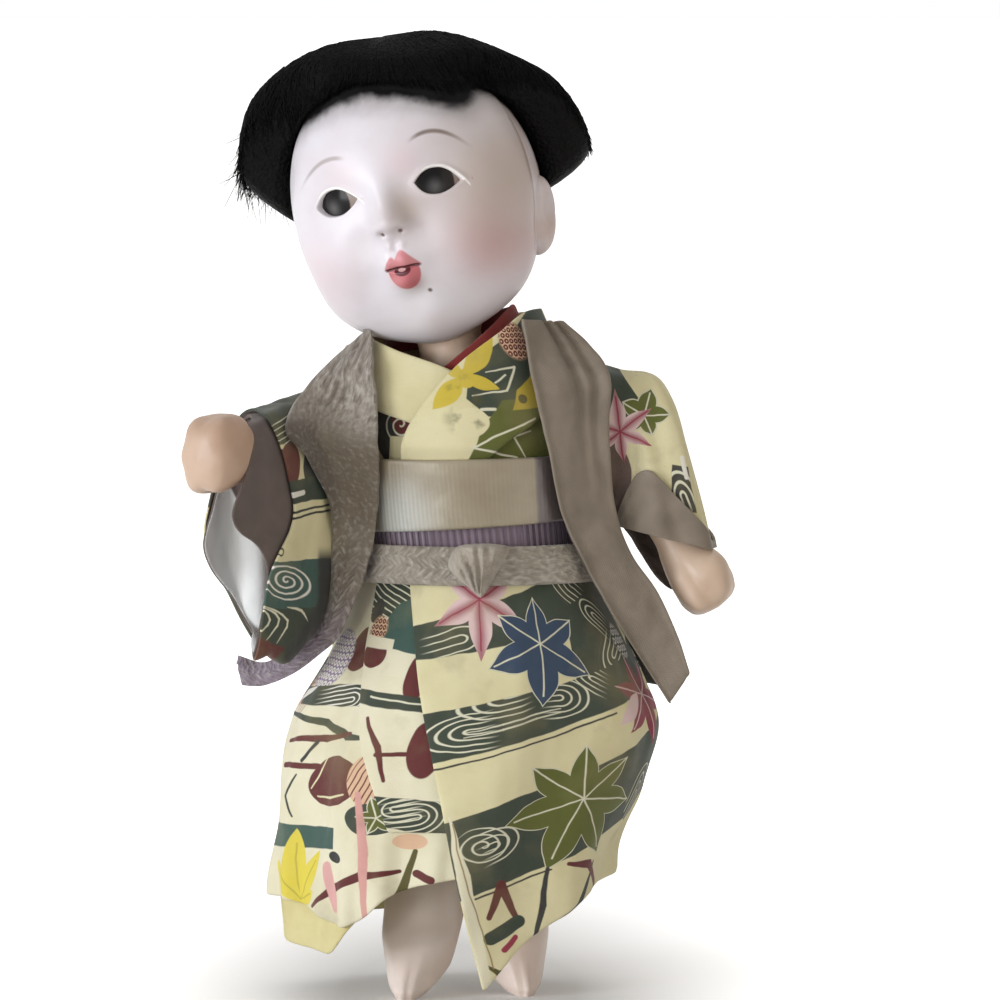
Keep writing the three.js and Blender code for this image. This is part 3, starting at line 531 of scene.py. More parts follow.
    def whirl(self, at, size, pitch, colour, stretch=1.0, turn=0.0, width=0.3, spiral=0.0):
        """Nested rings, or a spiral, round a point."""
        a, b = self.turned(at, turn)
        a = a / stretch
        radius = (a * a + b * b).sqrt()
        winding = b.math("ARCTAN2", a) * (spiral / TAU)
        lines = abs((radius / pitch - winding).fract() - 0.5) * pitch
        return self.over(colour, lines.under(width / 2) * radius.under(size))

    def eddy(self, at, size, pitch, colour, turn, length, within=None, stretch=1.4, width=0.28):
        """Water lines: nested bends that point along turn, with straight tails behind."""
        a, b = self.turned(at, turn)
        ahead = a.math("MAXIMUM", 0) / stretch
        radius = (ahead * ahead + b * b).sqrt()
        lines = abs((radius / pitch).fract() - 0.5) * pitch
        mask = lines.under(width / 2, 0.08) * radius.under(size) * (a + length).rise(-2, 2)
        return self.over(colour, mask * within if within else mask)

    def turned(self, at, turn):
        """How far each point lies along and beside a direction from a place."""
        across, up = self.beside(at)
        along = across * math.cos(turn) + up * math.sin(turn)
        return along, up * math.cos(turn) - across * math.sin(turn)

    def dots(self, at, radius, pitch, ground, dot):
        """A patch of small tie-dyed rings."""
        inside = self.polar(at)[0].under(radius, 0.5)
        self.over(ground, inside)
        row = (self.v / pitch).floor()
        a = (self.u / pitch + row * 0.5).fract() - 0.5
        b = (self.v / pitch).fract() - 0.5
        ring = abs((a * a + b * b).sqrt() - 0.3).under(0.14, 0.06)
        return self.over(dot, ring * inside)


# Colours
CREAM = dye(226, 219, 178)
CREAM_SHADE = dye(206, 196, 146)
PALE_CREAM = dye(232, 227, 200)
PALE_CREAM_SHADE = dye(214, 205, 168)
DARK_GREEN = dye(44, 54, 40)
LEAF_GREEN = dye(86, 92, 28)
LEAF_BLUE = dye(40, 60, 84)
TEAL = dye(52, 82, 74)
MAROON = dye(86, 22, 20)
PINK = dye(226, 200, 200)
ROSE = dye(146, 44, 66)
YELLOW = dye(224, 208, 76)
OLIVE = dye(82, 76, 30)
PEACH = dye(222, 184, 152)
VEIN = dye(224, 222, 198)
INK = dye(34, 35, 32)
LILAC = dye(134, 116, 154)
PALE = dye(236, 233, 224)


# Print layouts: places are across and up the cloth
SKIRT_RADIUS = 33
BODICE_RADIUS = 24


def on_skirt(x, z):
    """The flat place of a spot seen from the front on the skirt."""
    return (SKIRT_RADIUS * (front_angle(x, z, 2) + math.pi / 2), z)


def on_bodice(x, z):
    """The flat place of a spot seen from the front on the kimono's top."""
    return (BODICE_RADIUS * (front_angle(x, z, 4) + math.pi / 2), z)


def over_panel_print():
    cloth = Print("silk_over_panel", CREAM, CREAM_SHADE, layout=on_skirt)
    top = cloth.band((-11, 74.2), (-11, 81.4), (29, 83), (29, 99), DARK_GREEN)
    cloth.eddy((-1, 79), 3.6, 1.6, VEIN, 0.3, 7, top, 2)
    cloth.eddy((22, 90), 5, 1.4, VEIN, 2.6, 3, top, 1.6)
    grove = cloth.patch([(20, 85), (27, 92), (40, 84), (37, 65), (24, 66)], DARK_GREEN)
    cloth.eddy((27, 83), 3.4, 1.1, VEIN, 2.3, 3, grove, 1.6)
    cloth.eddy((31, 75), 4, 1.2, VEIN, -2.4, 3, grove, 1.7)
    middle = cloth.band((-7, 52.7), (-9, 63.2), (31, 64), (31, 73), DARK_GREEN)
    cloth.eddy((1.5, 59.6), 4.3, 1.1, VEIN, math.pi + 0.25, 3, middle, 2.2)
    cloth.eddy((9.5, 67.4), 4.6, 1.15, VEIN, math.pi + 0.35, 2, middle, 2.4)
    cloth.eddy((19.5, 66.4), 4.6, 1.15, VEIN, 0.05, 2, middle, 1.7)
    cloth.eddy((27, 70), 3.6, 1.1, VEIN, 2.6, 2, middle, 2)
    for low, high in ((58.2, 63.4), (59.2, 64.2)):
        cloth.stroke(((0, low), (8, low + 2), (15, low + 4.2), (20, high)), 0.3, VEIN)
    cloth.bar((-7, 51.4), (31, 62.8), 0.4, INK)
    low = cloth.band((1.7, 24.8), (-3.4, 40.4), (18.7, 31.2), (24.7, 50.8), DARK_GREEN)
    cloth.bar((1, 23.8), (18, 29.8), 0.4, INK)
    cloth.whirl((3.6, 35.4), 4.2, 1.5, VEIN, 1.25, 0.3, spiral=1)
    cloth.eddy((6, 35.6), 4.6, 1.4, VEIN, 0.5, 2, low)
    cloth.dots((32.5, 77.5), 3.6, 1.6, DARK_GREEN, PALE)
    cloth.maple((3.1, 87.5), 13, math.radians(-92), PINK, ROSE, 6, 0.42, ROSE, False)
    cloth.maple((15.6, 78.1), 13.5, math.radians(-95), LEAF_BLUE, VEIN, 6, 0.52)
    cloth.maple((24.4, 44.9), 16, math.radians(-108), LEAF_GREEN, VEIN, 7, 0.52)
    cloth.maple((37.2, 66), 12, math.radians(-75), dye(124, 26, 52), PINK, 6, 0.4, None, False)
    cloth.lobe((36, 66.5), (31.6, 60), 1.6, PINK)
    side = cloth.disc((37.5, 46), 6, DARK_GREEN, 1.3)
    cloth.eddy((37, 44), 5, 1.4, VEIN, 1.4, 6, side)
    cloth.stroke(((4.9, 20), (7.6, 27), (11.2, 19.6)), 1.7, MAROON)
    cloth.bar((5.2, 15.6), (11.4, 19), 2.8, DARK_GREEN)
    cloth.bar((8, 13), (10.5, 15.6), 1.2, ROSE)
    cloth.stroke(((17.4, 30), (16.4, 22), (14.8, 14.6)), 1.1, INK)
    cloth.stroke(((28, 30.6), (23.5, 22), (15.4, 15)), 1.1, INK)
    cloth.stroke(((21.4, 31), (26.4, 30.4), (29, 26), (29.4, 20)), 1.7, MAROON)
    cloth.stroke(((4.4, 9.6), (7, 8), (11, 9.4)), 0.9, OLIVE)
    cloth.bar((-3.2, 41.6), (-0.4, 29), 0.3, PALE_CREAM, 2.4)
    cloth.bar((-0.4, 29), (4.4, 6), 2.4, PALE_CREAM, 1.8)
    cloth.bar((-2.6, 40), (5.8, 9), 0.25, dye(150, 128, 84))
    return cloth.aged().woven().done()


def under_panel_print():
    cloth = Print("silk_under_panel", PALE_CREAM, PALE_CREAM_SHADE, layout=on_skirt)
    cloth.disc((-34.5, 66.5), 4.4, PEACH, 0.8)
    cloth.eddy((-34, 66), 4.4, 1.2, ROSE, 0.9, 4)
    cloth.disc((-23, 76), 4, MAROON, 1.2)
    cloth.dots((-28.5, 73.4), 6.4, 1.5, LILAC, PALE)
    cloth.disc((-33.2, 70.2), 1.2, ROSE)
    dark = cloth.band((-38, 63.4), (-38, 67), (-20, 64), (-20, 69), DARK_GREEN, (-45, -22))
    cloth.eddy((-25.4, 65.4), 4, 0.95, PALE, 0.2, 8, dark)
    cloth.lobe((-37, 64), (-31.6, 67.6), 0.9, PALE)
    cloth.stroke(((-37.4, 61.4), (-31, 60.2), (-26, 57.8), (-21, 57.6)), 1.5, DARK_GREEN)
    cloth.stroke(((-38, 55.6), (-31, 57), (-24.7, 58.4)), 1.3, MAROON)
    cloth.bar((-33, 56), (-36, 51.6), 0.8, INK)
    cloth.bar((-38.6, 50.4), (-33.3, 50.6), 1.2, MAROON)
    cloth.disc((-29.2, 48), 8, MAROON, 0.66, 0.2)
    cloth.stroke(((-34.6, 46), (-32.6, 50), (-30.8, 53)), 0.5, CREAM)
    cloth.stroke(((-33.4, 44.4), (-29.6, 44.6), (-25.6, 45.6)), 0.5, CREAM)
    cloth.stroke(((-36.8, 48.6), (-38.2, 44), (-37.6, 39.6)), 0.6, DARK_GREEN)
    net = cloth.disc((-20, 49), 4.6, PEACH, 1.2)
    cloth.eddy((-19, 49), 5, 1.1, MAROON, 1.2, 6, net)
    cloth.disc((-20, 40.6), 5.6, DARK_GREEN, 0.62)
    cloth.maple((-19, 41), 5.4, 0.6, LEAF_GREEN, VEIN, 5)
    cloth.band((-38, 33), (-38, 37.8), (-27, 33.6), (-27, 38), TEAL, (-60, -25))
    cloth.disc((-28.6, 31.8), 1.9, INK, 0.62, -0.3)
    for tip, half_width in (((-37.2, 37), 2.6), ((-32.8, 33), 2), ((-39.4, 30), 2), ((-33.4, 24.4), 1.6)):
        cloth.lobe((-36.4, 21), tip, half_width, YELLOW)
        vein_end = (mix(-36.4, tip[0], 0.8), mix(21, tip[1], 0.8))
        cloth.bar((-36.4, 22), vein_end, 0.3, dye(190, 176, 66))
    cloth.stroke(((-33.3, 21), (-29, 25), (-22, 28.4), (-14.4, 29.6)), 1.6, MAROON)
    cloth.bar((-10.6, 29.2), (-7.4, 28), 1.6, MAROON)
    cloth.stroke(((-22.4, 46), (-21.4, 33), (-21, 18)), 1.7, dye(214, 160, 152))
    cloth.bar((-30.6, 29.6), (-28, 21), 2.2, dye(222, 170, 166))
    cloth.stroke(((-10.8, 34), (-13.6, 26), (-17.4, 18.6)), 1.5, OLIVE)
    cloth.disc((-12, 36), 3.4, PEACH, 0.5)
    return cloth.aged().woven().done()


def pleat_print():
    cloth = Print("silk_pleat", PALE_CREAM, PALE_CREAM_SHADE, layout=on_skirt)
    top = cloth.band((-21, 83.6), (-21, 97), (-5, 82), (-5, 97), DARK_GREEN)
    cloth.eddy((-19, 89), 7, 1.25, VEIN, 2.8, 14, top, 1.2)
    cloth.disc((-13, 80), 6.2, TEAL, 1.1)
    cloth.disc((-18.6, 84.4), 2.2, INK, 1.2)
    cloth.dots((-18.4, 80.6), 2.6, 1.2, PEACH, MAROON)
    cloth.band((-21, 72), (-21, 78), (-5, 69.5), (-5, 74.6), PALE_CREAM)
    cloth.disc((-19.4, 75.4), 3.2, MAROON, 0.95)
    cloth.band((-21, 76.8), (-21, 79.4), (-14, 76), (-14, 78.6), PALE_CREAM, (-40, -20))
    cloth.disc((-10.4, 70.4), 2.2, MAROON, 2.2)
    cloth.band((-21, 64.6), (-21, 67.8), (-8, 63.4), (-8, 66.8), DARK_GREEN)
    cloth.bar((-20, 66.4), (-9, 65.2), 0.4, VEIN)
    cloth.stroke(((-20.5, 62), (-18.2, 56), (-17.2, 49)), 1.1, MAROON)
    cloth.bar((-18.6, 54.4), (-9.7, 55), 0.9, MAROON)
    cloth.disc((-8.4, 55.6), 3.2, MAROON, 1.9)
    low = cloth.band((-17, 39), (-17, 45.6), (-4, 37), (-4, 44.6), DARK_GREEN)
    cloth.eddy((-10.5, 41.4), 4.4, 1.1, VEIN, 0.2, 5, low)
    cloth.eddy((-15, 43), 3, 1.1, VEIN, 3.4, 4, low)
    return cloth.aged().woven().done()


def wide_print():
    """The kimono silk where no one layout shows: leaves, streams and dots that repeat."""
    cloth = Print("silk_wide", CREAM, CREAM_SHADE, repeat=(64, 58))
    low = cloth.band((0, 5), (0, 15), (64, 5), (64, 15), DARK_GREEN)
    cloth.eddy((18, 10), 4.6, 1.2, VEIN, 0.1, 16, low)
    cloth.whirl((50, 10), 4.4, 1.6, VEIN, 1.3, 0.3, spiral=1)
    high = cloth.band((0, 34), (0, 40), (64, 34), (64, 40), DARK_GREEN)
    cloth.eddy((36, 37), 3.2, 1.1, VEIN, math.pi, 20, high)
    cloth.maple((20, 26), 12, math.radians(-100), LEAF_GREEN, VEIN, 7)
    cloth.maple((48, 25), 11, math.radians(-80), LEAF_BLUE, VEIN, 6)
    cloth.maple((12, 48), 9.5, math.radians(-90), PINK, ROSE, 6, 0.42, ROSE, False)
    cloth.disc((34, 49), 5, MAROON, 0.9, 0.5)
    cloth.stroke(((45, 46), (50, 52), (58, 50)), 1.5, MAROON)
    cloth.bar((57, 20), (60, 31), 1.2, OLIVE)
    cloth.dots((57, 45), 4, 1.6, LILAC, PALE)
    return cloth.aged().woven().done()


def over_collar_print():
    cloth = Print("silk_over_collar", CREAM, CREAM_SHADE, layout=on_bodice)
    dull_yellow = dye(206, 184, 62)
    ground = ((0, 130.5), (1, 138), (14, 152), (26, 152), (26, 126), (5, 126.6))
    cloth.patch(ground, DARK_GREEN)
    leaf = ((0.2, 116), (3.8, 124.3), (7.6, 130), (20, 130), (20, 116))
    cloth.patch(leaf, LEAF_GREEN)
    for end in ((14.3, 125.9), (12.1, 117.4)):
        cloth.bar((1.6, 120), end, 0.45, VEIN)
    cloth.stroke(((15.2, 123.1), (11.3, 122), (14.3, 117)), 0.4, VEIN)
    cloth.stroke(((4.2, 136), (9.7, 137.1), (8.4, 132), (1.4, 131)), 0.4, VEIN)
    cloth.bar((8, 135.4), (6, 133.8), 0.35, VEIN)
    cloth.bar((3.4, 128.1), (6.2, 128.1), 0.6, VEIN)
    second = ((9.7, 127.7), (10.4, 132), (13, 135.2), (15, 132.7), (15, 128.4))
    cloth.patch(second, dye(186, 164, 48))
    cloth.disc((11.7, 130.1), 0.9, OLIVE)
    cloth.disc((1.3, 125.4), 3.4, CREAM, 0.9)
    for tip, half_width in (((5.6, 143.8), 2.2), ((7, 132.4), 1.5), ((-6.8, 128), 1.9), ((-4, 137.6), 1.4)):
        cloth.lobe((-0.6, 135), tip, half_width, dull_yellow)
    cloth.disc((0, 134.6), 2, dull_yellow)
    stain = (cloth.noise(4, 5, cloth.flat) - 0.54) * 5
    for at, size in (((1.6, 126), 4.2), ((-0.6, 132), 3.2)):
        spread = cloth.polar(at)[0].under(size, 2)
        cloth.over(OLIVE, stain.math("MINIMUM", 0.75, limit=True) * spread)
    cloth.dots((9.6, 142.6), 4, 1.3, PEACH, MAROON)
    return cloth.aged().woven().done()


def under_front_print():
    cloth = Print("silk_under_front", CREAM, CREAM_SHADE, layout=on_bodice)
    cloth.disc((-15, 124), 10, INK)
    cloth.disc((-14.4, 124.6), 3.2, MAROON, 0.8, -0.5)
    cloth.whirl((-15.4, 124.4), 3.6, 1.7, VEIN, 1.3, 0.6, 0.4, 1)
    for corners in (
        ((-18.6, 117), (-18.2, 122), (-13.6, 122), (-14, 116)),
        ((-12.8, 122), (-12, 125), (-9.4, 125), (-11.4, 120)),
    ):
        cloth.patch(corners, CREAM)
    cloth.bar((-13.6, 122), (-12.6, 117), 0.9, INK)
    return cloth.aged().woven().done()


def right_sleeve_print():
    """Across is the distance along the arm, and up is the height."""
    cloth = Print("silk_right_sleeve", CREAM, CREAM_SHADE)
    cloth.disc((18.6, 116.5), 3.4, MAROON, 1.5)
    cloth.disc((11, 116), 3, INK, 1.6)
    shoulder = cloth.band((-30, 120.5), (-30, 140), (60, 121.5), (60, 140), DARK_GREEN)
    cloth.eddy((18, 124), 4, 1.3, VEIN, 2.8, 6, shoulder, 1.6)
    cloth.band((0, 109), (0, 114), (40, 107), (40, 112.4), DARK_GREEN)
    cloth.bar((14, 110.4), (18, 110), 1.2, PALE)
    cloth.bar((4, 107.4), (24, 105.8), 0.5, INK)
    cloth.bar((4, 106.2), (24, 104.6), 0.5, INK)
    cloth.band((0, 83), (0, 95.6), (40, 84), (40, 96.6), TEAL)
    cloth.whirl((19.6, 91.8), 3.9, 1.15, PALE, 2.3, 0.22, 0.34, 1)
    cloth.band((0, 60), (0, 85), (40, 70), (40, 87), DARK_GREEN)
    for curl in (
        ((28.4, 87.4), (25.6, 83.8), (28.9, 81)), ((28.4, 87.4), (22.3, 83.8), (26.6, 79.4)),
        ((27.3, 87.2), (19.3, 83.4), (23.1, 78.8)), ((19.4, 86.4), (14.7, 85.1), (12.6, 82.5)),
    ):
        cloth.stroke(curl, 0.5, VEIN, 3)
    cloth.patch([(20.4, 77.4), (31, 80.8), (30.6, 70.4)], MAROON)
    # Painted shadow: ink low on the sleeve beside the lapel, where the jacket's shade falls.
    cloth.over(INK, (cloth.v + cloth.u * 0.9 - 94.3).under(0, 1.4))
    cloth.whirl((21.5, 98.2), 1.2, 1.5, INK, 1, 0, 0.36)
    # Painted shadow: ink on the sleeve close to the body and low down.
    cloth.over(INK, (cloth.u - 9).under(0, 0.8) * (cloth.v - 97).under(0, 2))
    return cloth.aged().woven().done()


def left_sleeve_print():
    """Across and up are as seen from the front."""
    cloth = Print("silk_left_sleeve", CREAM, CREAM_SHADE)
    cloth.patch([(29, 128), (30, 136.5), (33, 136), (37.4, 130), (35, 125)], DARK_GREEN)
    cloth.disc((31, 112), 5, dye(96, 78, 70), 1.8)
    cloth.maple((38.6, 126), 6.4, math.radians(75), LEAF_GREEN, VEIN, 5, 0.6)
    cloth.maple((33.4, 122.4), 9.4, math.radians(98), PINK, ROSE, 6, 0.36, ROSE, False)
    dark = cloth.patch([(44.4, 106), (44.8, 115.4), (48.2, 115), (50, 105)], INK)
    cloth.eddy((47.2, 108.6), 3.6, 1.2, VEIN, 1.9, 3, dark, 1.8, 0.4)
    cloth.bar((46.8, 117), (48, 112.6), 0.9, PALE)
    return cloth.aged().woven().done()


def plain_cloth(name, colour, shade, size=5, pitch=0.45, depth=0.04, crinkle=0.2, sheen=0.2):
    """Undyed or dyed cloth with threads and uneven colour."""
    cloth = Print(name, colour, shade, sheen)
    cloth.over(shade, (cloth.noise(size, 4, cloth.flat) - 0.4) * 1.5)
    return cloth.woven(pitch, depth, crinkle).done()


def two_tone_lining():
    """Taupe lining with a pale panel low on the far side. Across is the distance along the arm."""
    cloth = Print("sleeve_lining", dye(92, 78, 74), dye(70, 58, 56))
    far = (cloth.v - cloth.u * 0.9 - 74).under(0, 0.6) * (cloth.u - 24).rise(-0.6, 0.6)
    cloth.over(dye(250, 252, 252), far)
    cloth.over(dye(234, 238, 239), far * (cloth.noise(6, 4, cloth.flat) - 0.4) * 1.4)
    return cloth.woven(0.45, 0.03, 0.3).done()


# Crepe that looks knitted: the width of its columns, and the size, lean and length of its flecks
KNIT_COLUMN, KNIT_FLECK, KNIT_LENGTH = 2.3, 1.0, 2.6
KNIT_LEAN, KNIT_TILT, KNIT_SHIFT = 0.9, 0.5, 7.3


def crepe(name, colour, shade, light, along, across, knitted, tails=(), smoothed_and_shaded=None):
    """Crinkled crepe, with leaning flecks in columns where it is knitted. Tails are dyes down its length.
    Raised flecks and crinkles get painted highlight and hollows painted shade, and the part drawn smooth gets
    a painted shadow on its outer side.
    """
    cloth = Print(name, colour, shade, 0.3)
    run, side = getattr(cloth, along), getattr(cloth, across)
    for tail, start, end in tails:
        cloth.over(tail, (-cloth.v).rise(start, end))
    column = (side / KNIT_COLUMN).floor()
    lean = (column * 0.5).fract() * 4 - 1
    fleck_run = (run + side * lean * KNIT_LEAN) / KNIT_FLECK
    fleck_side = (side - run * lean * KNIT_TILT) / KNIT_LENGTH + column * KNIT_SHIFT
    fleck = cloth.grain(fleck_run, fleck_side)
    crinkle = cloth.grain(run / 2.1, side / 0.9 + 40)
    where = knitted(cloth)
    relief = (fleck - 0.5) * where + (crinkle - 0.5) * (-where + 1)
    if smoothed_and_shaded:
        relief = relief * (-smoothed_and_shaded(cloth) * 0.75 + 1)
        # A painted shadow on the outer side of the part drawn smooth.
        cloth.over(dye(60, 51, 44), cloth.u.rise(0.5, 4.5) * smoothed_and_shaded(cloth) * 0.7)
    grain = cloth.noise(1.1, 3, cloth.flat) - 0.5
    # Painted highlight on the raised flecks and crinkles, and painted shade in the hollows between them.
    cloth.over(light, ((relief + grain * 0.5) * 2.2).math("MINIMUM", 1, limit=True))
    cloth.over(shade, ((relief + grain * 0.3) * -2.2).math("MINIMUM", 0.8, limit=True))
    cloth.over(shade, (cloth.noise(9, 3, cloth.flat) - 0.48) * 1.6)
    cloth.raised(relief * 0.8).raised(grain * 0.4)
    return cloth.woven(0.5, 0.03, 0.2).done()


def drawn_crepe():
    """The crepe of the knot, pulled into fine wrinkles."""
    cloth = Finish("drawn_crepe", dye(168, 159, 146), sheen=0.3)
    cloth.over(dye(192, 186, 176), (cloth.noise(1.5, 4) - 0.52) * 2.4)
    cloth.over(dye(112, 100, 88), (cloth.noise(4, 3) - 0.52) * 2)
    cloth.roughness = cloth.noise(2, 3) * 0.2 + 0.68
    cloth.raised((cloth.noise(0.9, 4) - 0.5) * 0.7)
    return cloth.done()


def ribbed_silk():
    """Silvery satin with faint ribs, a painted highlight low at the doll's right, and violet at its left."""
    cloth = Print("silver_sash_silk", dye(152, 141, 118), dye(122, 109, 86), 0.2)
    cloth.shader.inputs["Specular IOR Level"].default_value = 0.7
    ribs = (cloth.thread_u * (TAU / 0.9)).sin()
    cloth.over(dye(176, 168, 146), (ribs * 0.5 + 0.5) * (cloth.noise(8, 2, cloth.flat) - 0.3) * 0.4)
    cloth.over(dye(118, 100, 76), (cloth.noise(12, 3, cloth.flat) - 0.5) * 2)
    # A painted highlight: the window's reflection on the satin, low at the sash's end on the doll's right.
    painted_highlight = (cloth.u + 9).under(0, 6) * (cloth.v - 111).under(0, 5) * (cloth.u + 22).rise(0, 4)
    cloth.over(dye(214, 224, 226), painted_highlight * (ribs * 0.12 + 0.5))
    cloth.over(dye(82, 72, 76), (cloth.u - 14).rise(-0.5, 0.5) * 0.9)
    cloth.raised(ribs * 0.006).raised((cloth.noise(7, 3, cloth.flat) - 0.5) * 0.3)
    cloth.roughness = cloth.noise(5, 3, cloth.flat) * 0.25 + 0.26
    return cloth.done()


PLEAT_PITCH = 1.5


def pleated_silk():
    """Plum silk in fine upright pleats, with painted shade between them and painted highlights on them,
    strongest towards the band's ends.
    """
    cloth = Print("plum_pleated_silk", dye(142, 126, 140), dye(112, 97, 112), 0.3)
    ribs = (cloth.thread_u * (TAU / PLEAT_PITCH)).sin()
    ends = abs(cloth.u - 1).rise(8, 13)
    # Painted shade in the pleats' hollows and painted highlight on their crests.
    cloth.over(dye(58, 46, 62), ribs.rise(0.1, 0.8) * (ends * 0.75 + 0.25))
    cloth.over(dye(190, 178, 196), (-ribs).rise(0.7, 1) * (ends * 0.8 + 0.1))
    cloth.raised(ribs * 0.06)
    return cloth.woven(0.4, 0.02, 0.05).done()


GOFUN_COAT = 0.05


def gofun(name, ground, shade):
    """Polished oyster-shell white, uneven and faintly stained."""
    shell = Finish(name, ground, coat=GOFUN_COAT)
    shell.over(shade, (shell.noise(16, 4) - 0.42) * 1.6)
    shell.roughness = shell.noise(5, 3) * 0.2 + 0.36
    shell.raised((shell.noise(3, 4) - 0.5) * 0.05)
    return shell


HEAD_WHITE = dye(229, 225, 232)
HEAD_SHADE = dye(215, 205, 209)
SKIN = dye(208, 184, 163)
SKIN_SHADE = dye(180, 149, 124)

composition_skin = gofun("composition_skin", SKIN, SKIN_SHADE).done()
leg_skin = gofun("leg_skin", dye(236, 222, 214), dye(206, 180, 164)).done()
# A darker copy of the composition skin for the right fist: painted shade over that hand.
shaded_skin = gofun("shaded_skin", dye(202, 174, 152), dye(162, 126, 102)).done()
muslin = plain_cloth("muslin", dye(206, 196, 172), dye(180, 168, 140))
cream_lining = plain_cloth("cream_lining", dye(226, 216, 160), dye(206, 192, 128))
red_silk = plain_cloth("red_silk", dye(140, 26, 18), dye(92, 14, 10), sheen=0.3)
taupe_lining = plain_cloth("taupe_lining", dye(98, 84, 78), dye(76, 64, 60))
taupe_silk = plain_cloth("taupe_silk", dye(136, 125, 111), dye(110, 99, 85), 7, 0.5, 0.03, 0.3)
belt_crepe = crepe("belt_crepe", dye(168, 160, 148), dye(118, 108, 96), dye(214, 209, 200), "u", "v",
                   lambda cloth: cloth.u.under(0, 5))
knot_crepe = drawn_crepe()
LAPEL_TAILS = (
    (dye(112, 101, 86), 18, 30), (dye(132, 122, 110), 44, 56), (dye(138, 126, 142), 62, 78),
    (dye(152, 134, 196), 102, 114),
)
# Its last mask draws the lapel smooth from 18 to 48 mm down its length, with a painted shadow along its outer
# side there, beside the sleeve.
lapel_crepe = crepe("lapel_crepe", dye(158, 151, 141), dye(98, 88, 76), dye(196, 191, 182), "v", "u",
                    lambda cloth: (-cloth.v).rise(44, 58), LAPEL_TAILS,
                    lambda cloth: (-cloth.v).rise(18, 26) * (cloth.v * -1).under(48, 8))
violet_crepe = crepe("violet_crepe", dye(150, 136, 176), dye(112, 98, 132), dye(188, 178, 206), "v", "u",
                     lambda cloth: (-cloth.v).rise(38, 52))
sleeve_lining = two_tone_lining()
sash_silk = ribbed_silk()
plum_pleats = pleated_silk()
over_panel_silk = over_panel_print()
under_panel_silk = under_panel_print()
pleat_silk = pleat_print()
wide_silk = wide_print()
over_collar_silk = over_collar_print()
under_front_silk = under_front_print()
right_sleeve_silk = right_sleeve_print()
left_sleeve_silk = left_sleeve_print()


# Body pieces under the clothes
def loft(rows, axis_from, axis_to, across, columns=32, steps=40, shape=None):
    """A round solid along an axis. Each row is distance, half width and half depth."""
    start = Vector(axis_from)
    run = (Vector(axis_to) - start).normalized()
    wide = Vector(across).normalized()
    deep = run.cross(wide)
    lowest, highest = rows[0][0], rows[-1][0]
    half_width = through([(r[0], r[1]) for r in rows])
    half_depth = through([(r[0], r[2]) for r in rows])

    def point(angle, share):
        at = mix(lowest, highest, 0.5 - 0.5 * math.cos(math.pi * share))
        lump = shape(angle, at) if shape else 0
        round_a = (half_width(at) + lump) * math.cos(angle)
        round_b = (half_depth(at) + lump) * math.sin(angle)
        return start + run * at + wide * round_a + deep * round_b

    return moulded(point, columns, steps)


HIP_HEIGHT, THIGH_BALL, LEG_TOP = 68, 8, 43.6
FOOT_TURN, HEEL_LIFT = math.radians(18), 9
ARM_BALL, UPPER_ARM = 4.7, 16
SHOULDER_RIGHT, SHOULDER_LEFT = Vector((-26, 0, 127)), Vector((26, 0, 127))
AIM_RIGHT, AIM_LEFT = Vector((-25.5, -33, -8)).normalized(), Vector((23, -5, -34)).normalized()
HAND_LIFT = Vector((0.02, 0, 0.03))  # the right hand is raised a little from its arm's line
LEGS = (("right", -9, -3, -FOOT_TURN), ("left", 9, 3, FOOT_TURN))  # side, x, y, and the foot's turn

waist_rows = [(92.4, 0.1, 0.1), (92.6, 19, 15.6), (96, 19.6, 16.2), (101.5, 18.8, 15.8), (107, 19.6, 16.2),
              (110.4, 19, 15.6), (110.6, 0.1, 0.1)]
waist = loft(waist_rows, (0, 0, 0), (0, 0, 1), (1, 0, 0))
piece("stuffed_waist", waist, "torso", "muslin", ["cloth_waist"], muslin)


def thigh(side, x, y):
    rows = [(-THIGH_BALL, 0.1, 0.1), (-7.2, 3.4, 3.4), (-4.5, 6.6, 6.6), (0, 8, 8), (8, 7.6, 7.6),
            (20, 7, 7), (23.4, 6.2, 6.2), (23.9, 0.1, 0.1)]
    bm = loft(rows, (x, y, HIP_HEIGHT), (x, y, 0), (1, 0, 0), 24, 30)
    piece(f"{side}_cloth_thigh", bm, f"{side}_leg", "muslin", [f"{side}_thigh"], muslin)


def upper_arm(side, shoulder, aim):
    rows = [(-ARM_BALL, 0.1, 0.1), (-4, 2.4, 2.4), (-2.4, 4, 4), (0, ARM_BALL, ARM_BALL), (5, 4.5, 4.5),
            (13, 3.9, 3.9), (15.8, 3.2, 3.2), (UPPER_ARM, 0.1, 0.1)]
    bm = loft(rows, shoulder, shoulder + aim, (0, 0, 1), 24, 30)
    piece(f"{side}_cloth_arm", bm, f"{side}_arm", "muslin", [f"{side}_upper_arm"], muslin)


for side, x, y, _ in LEGS:
    thigh(side, x, y)
upper_arm("right", SHOULDER_RIGHT, AIM_RIGHT)
upper_arm("left", SHOULDER_LEFT, AIM_LEFT)


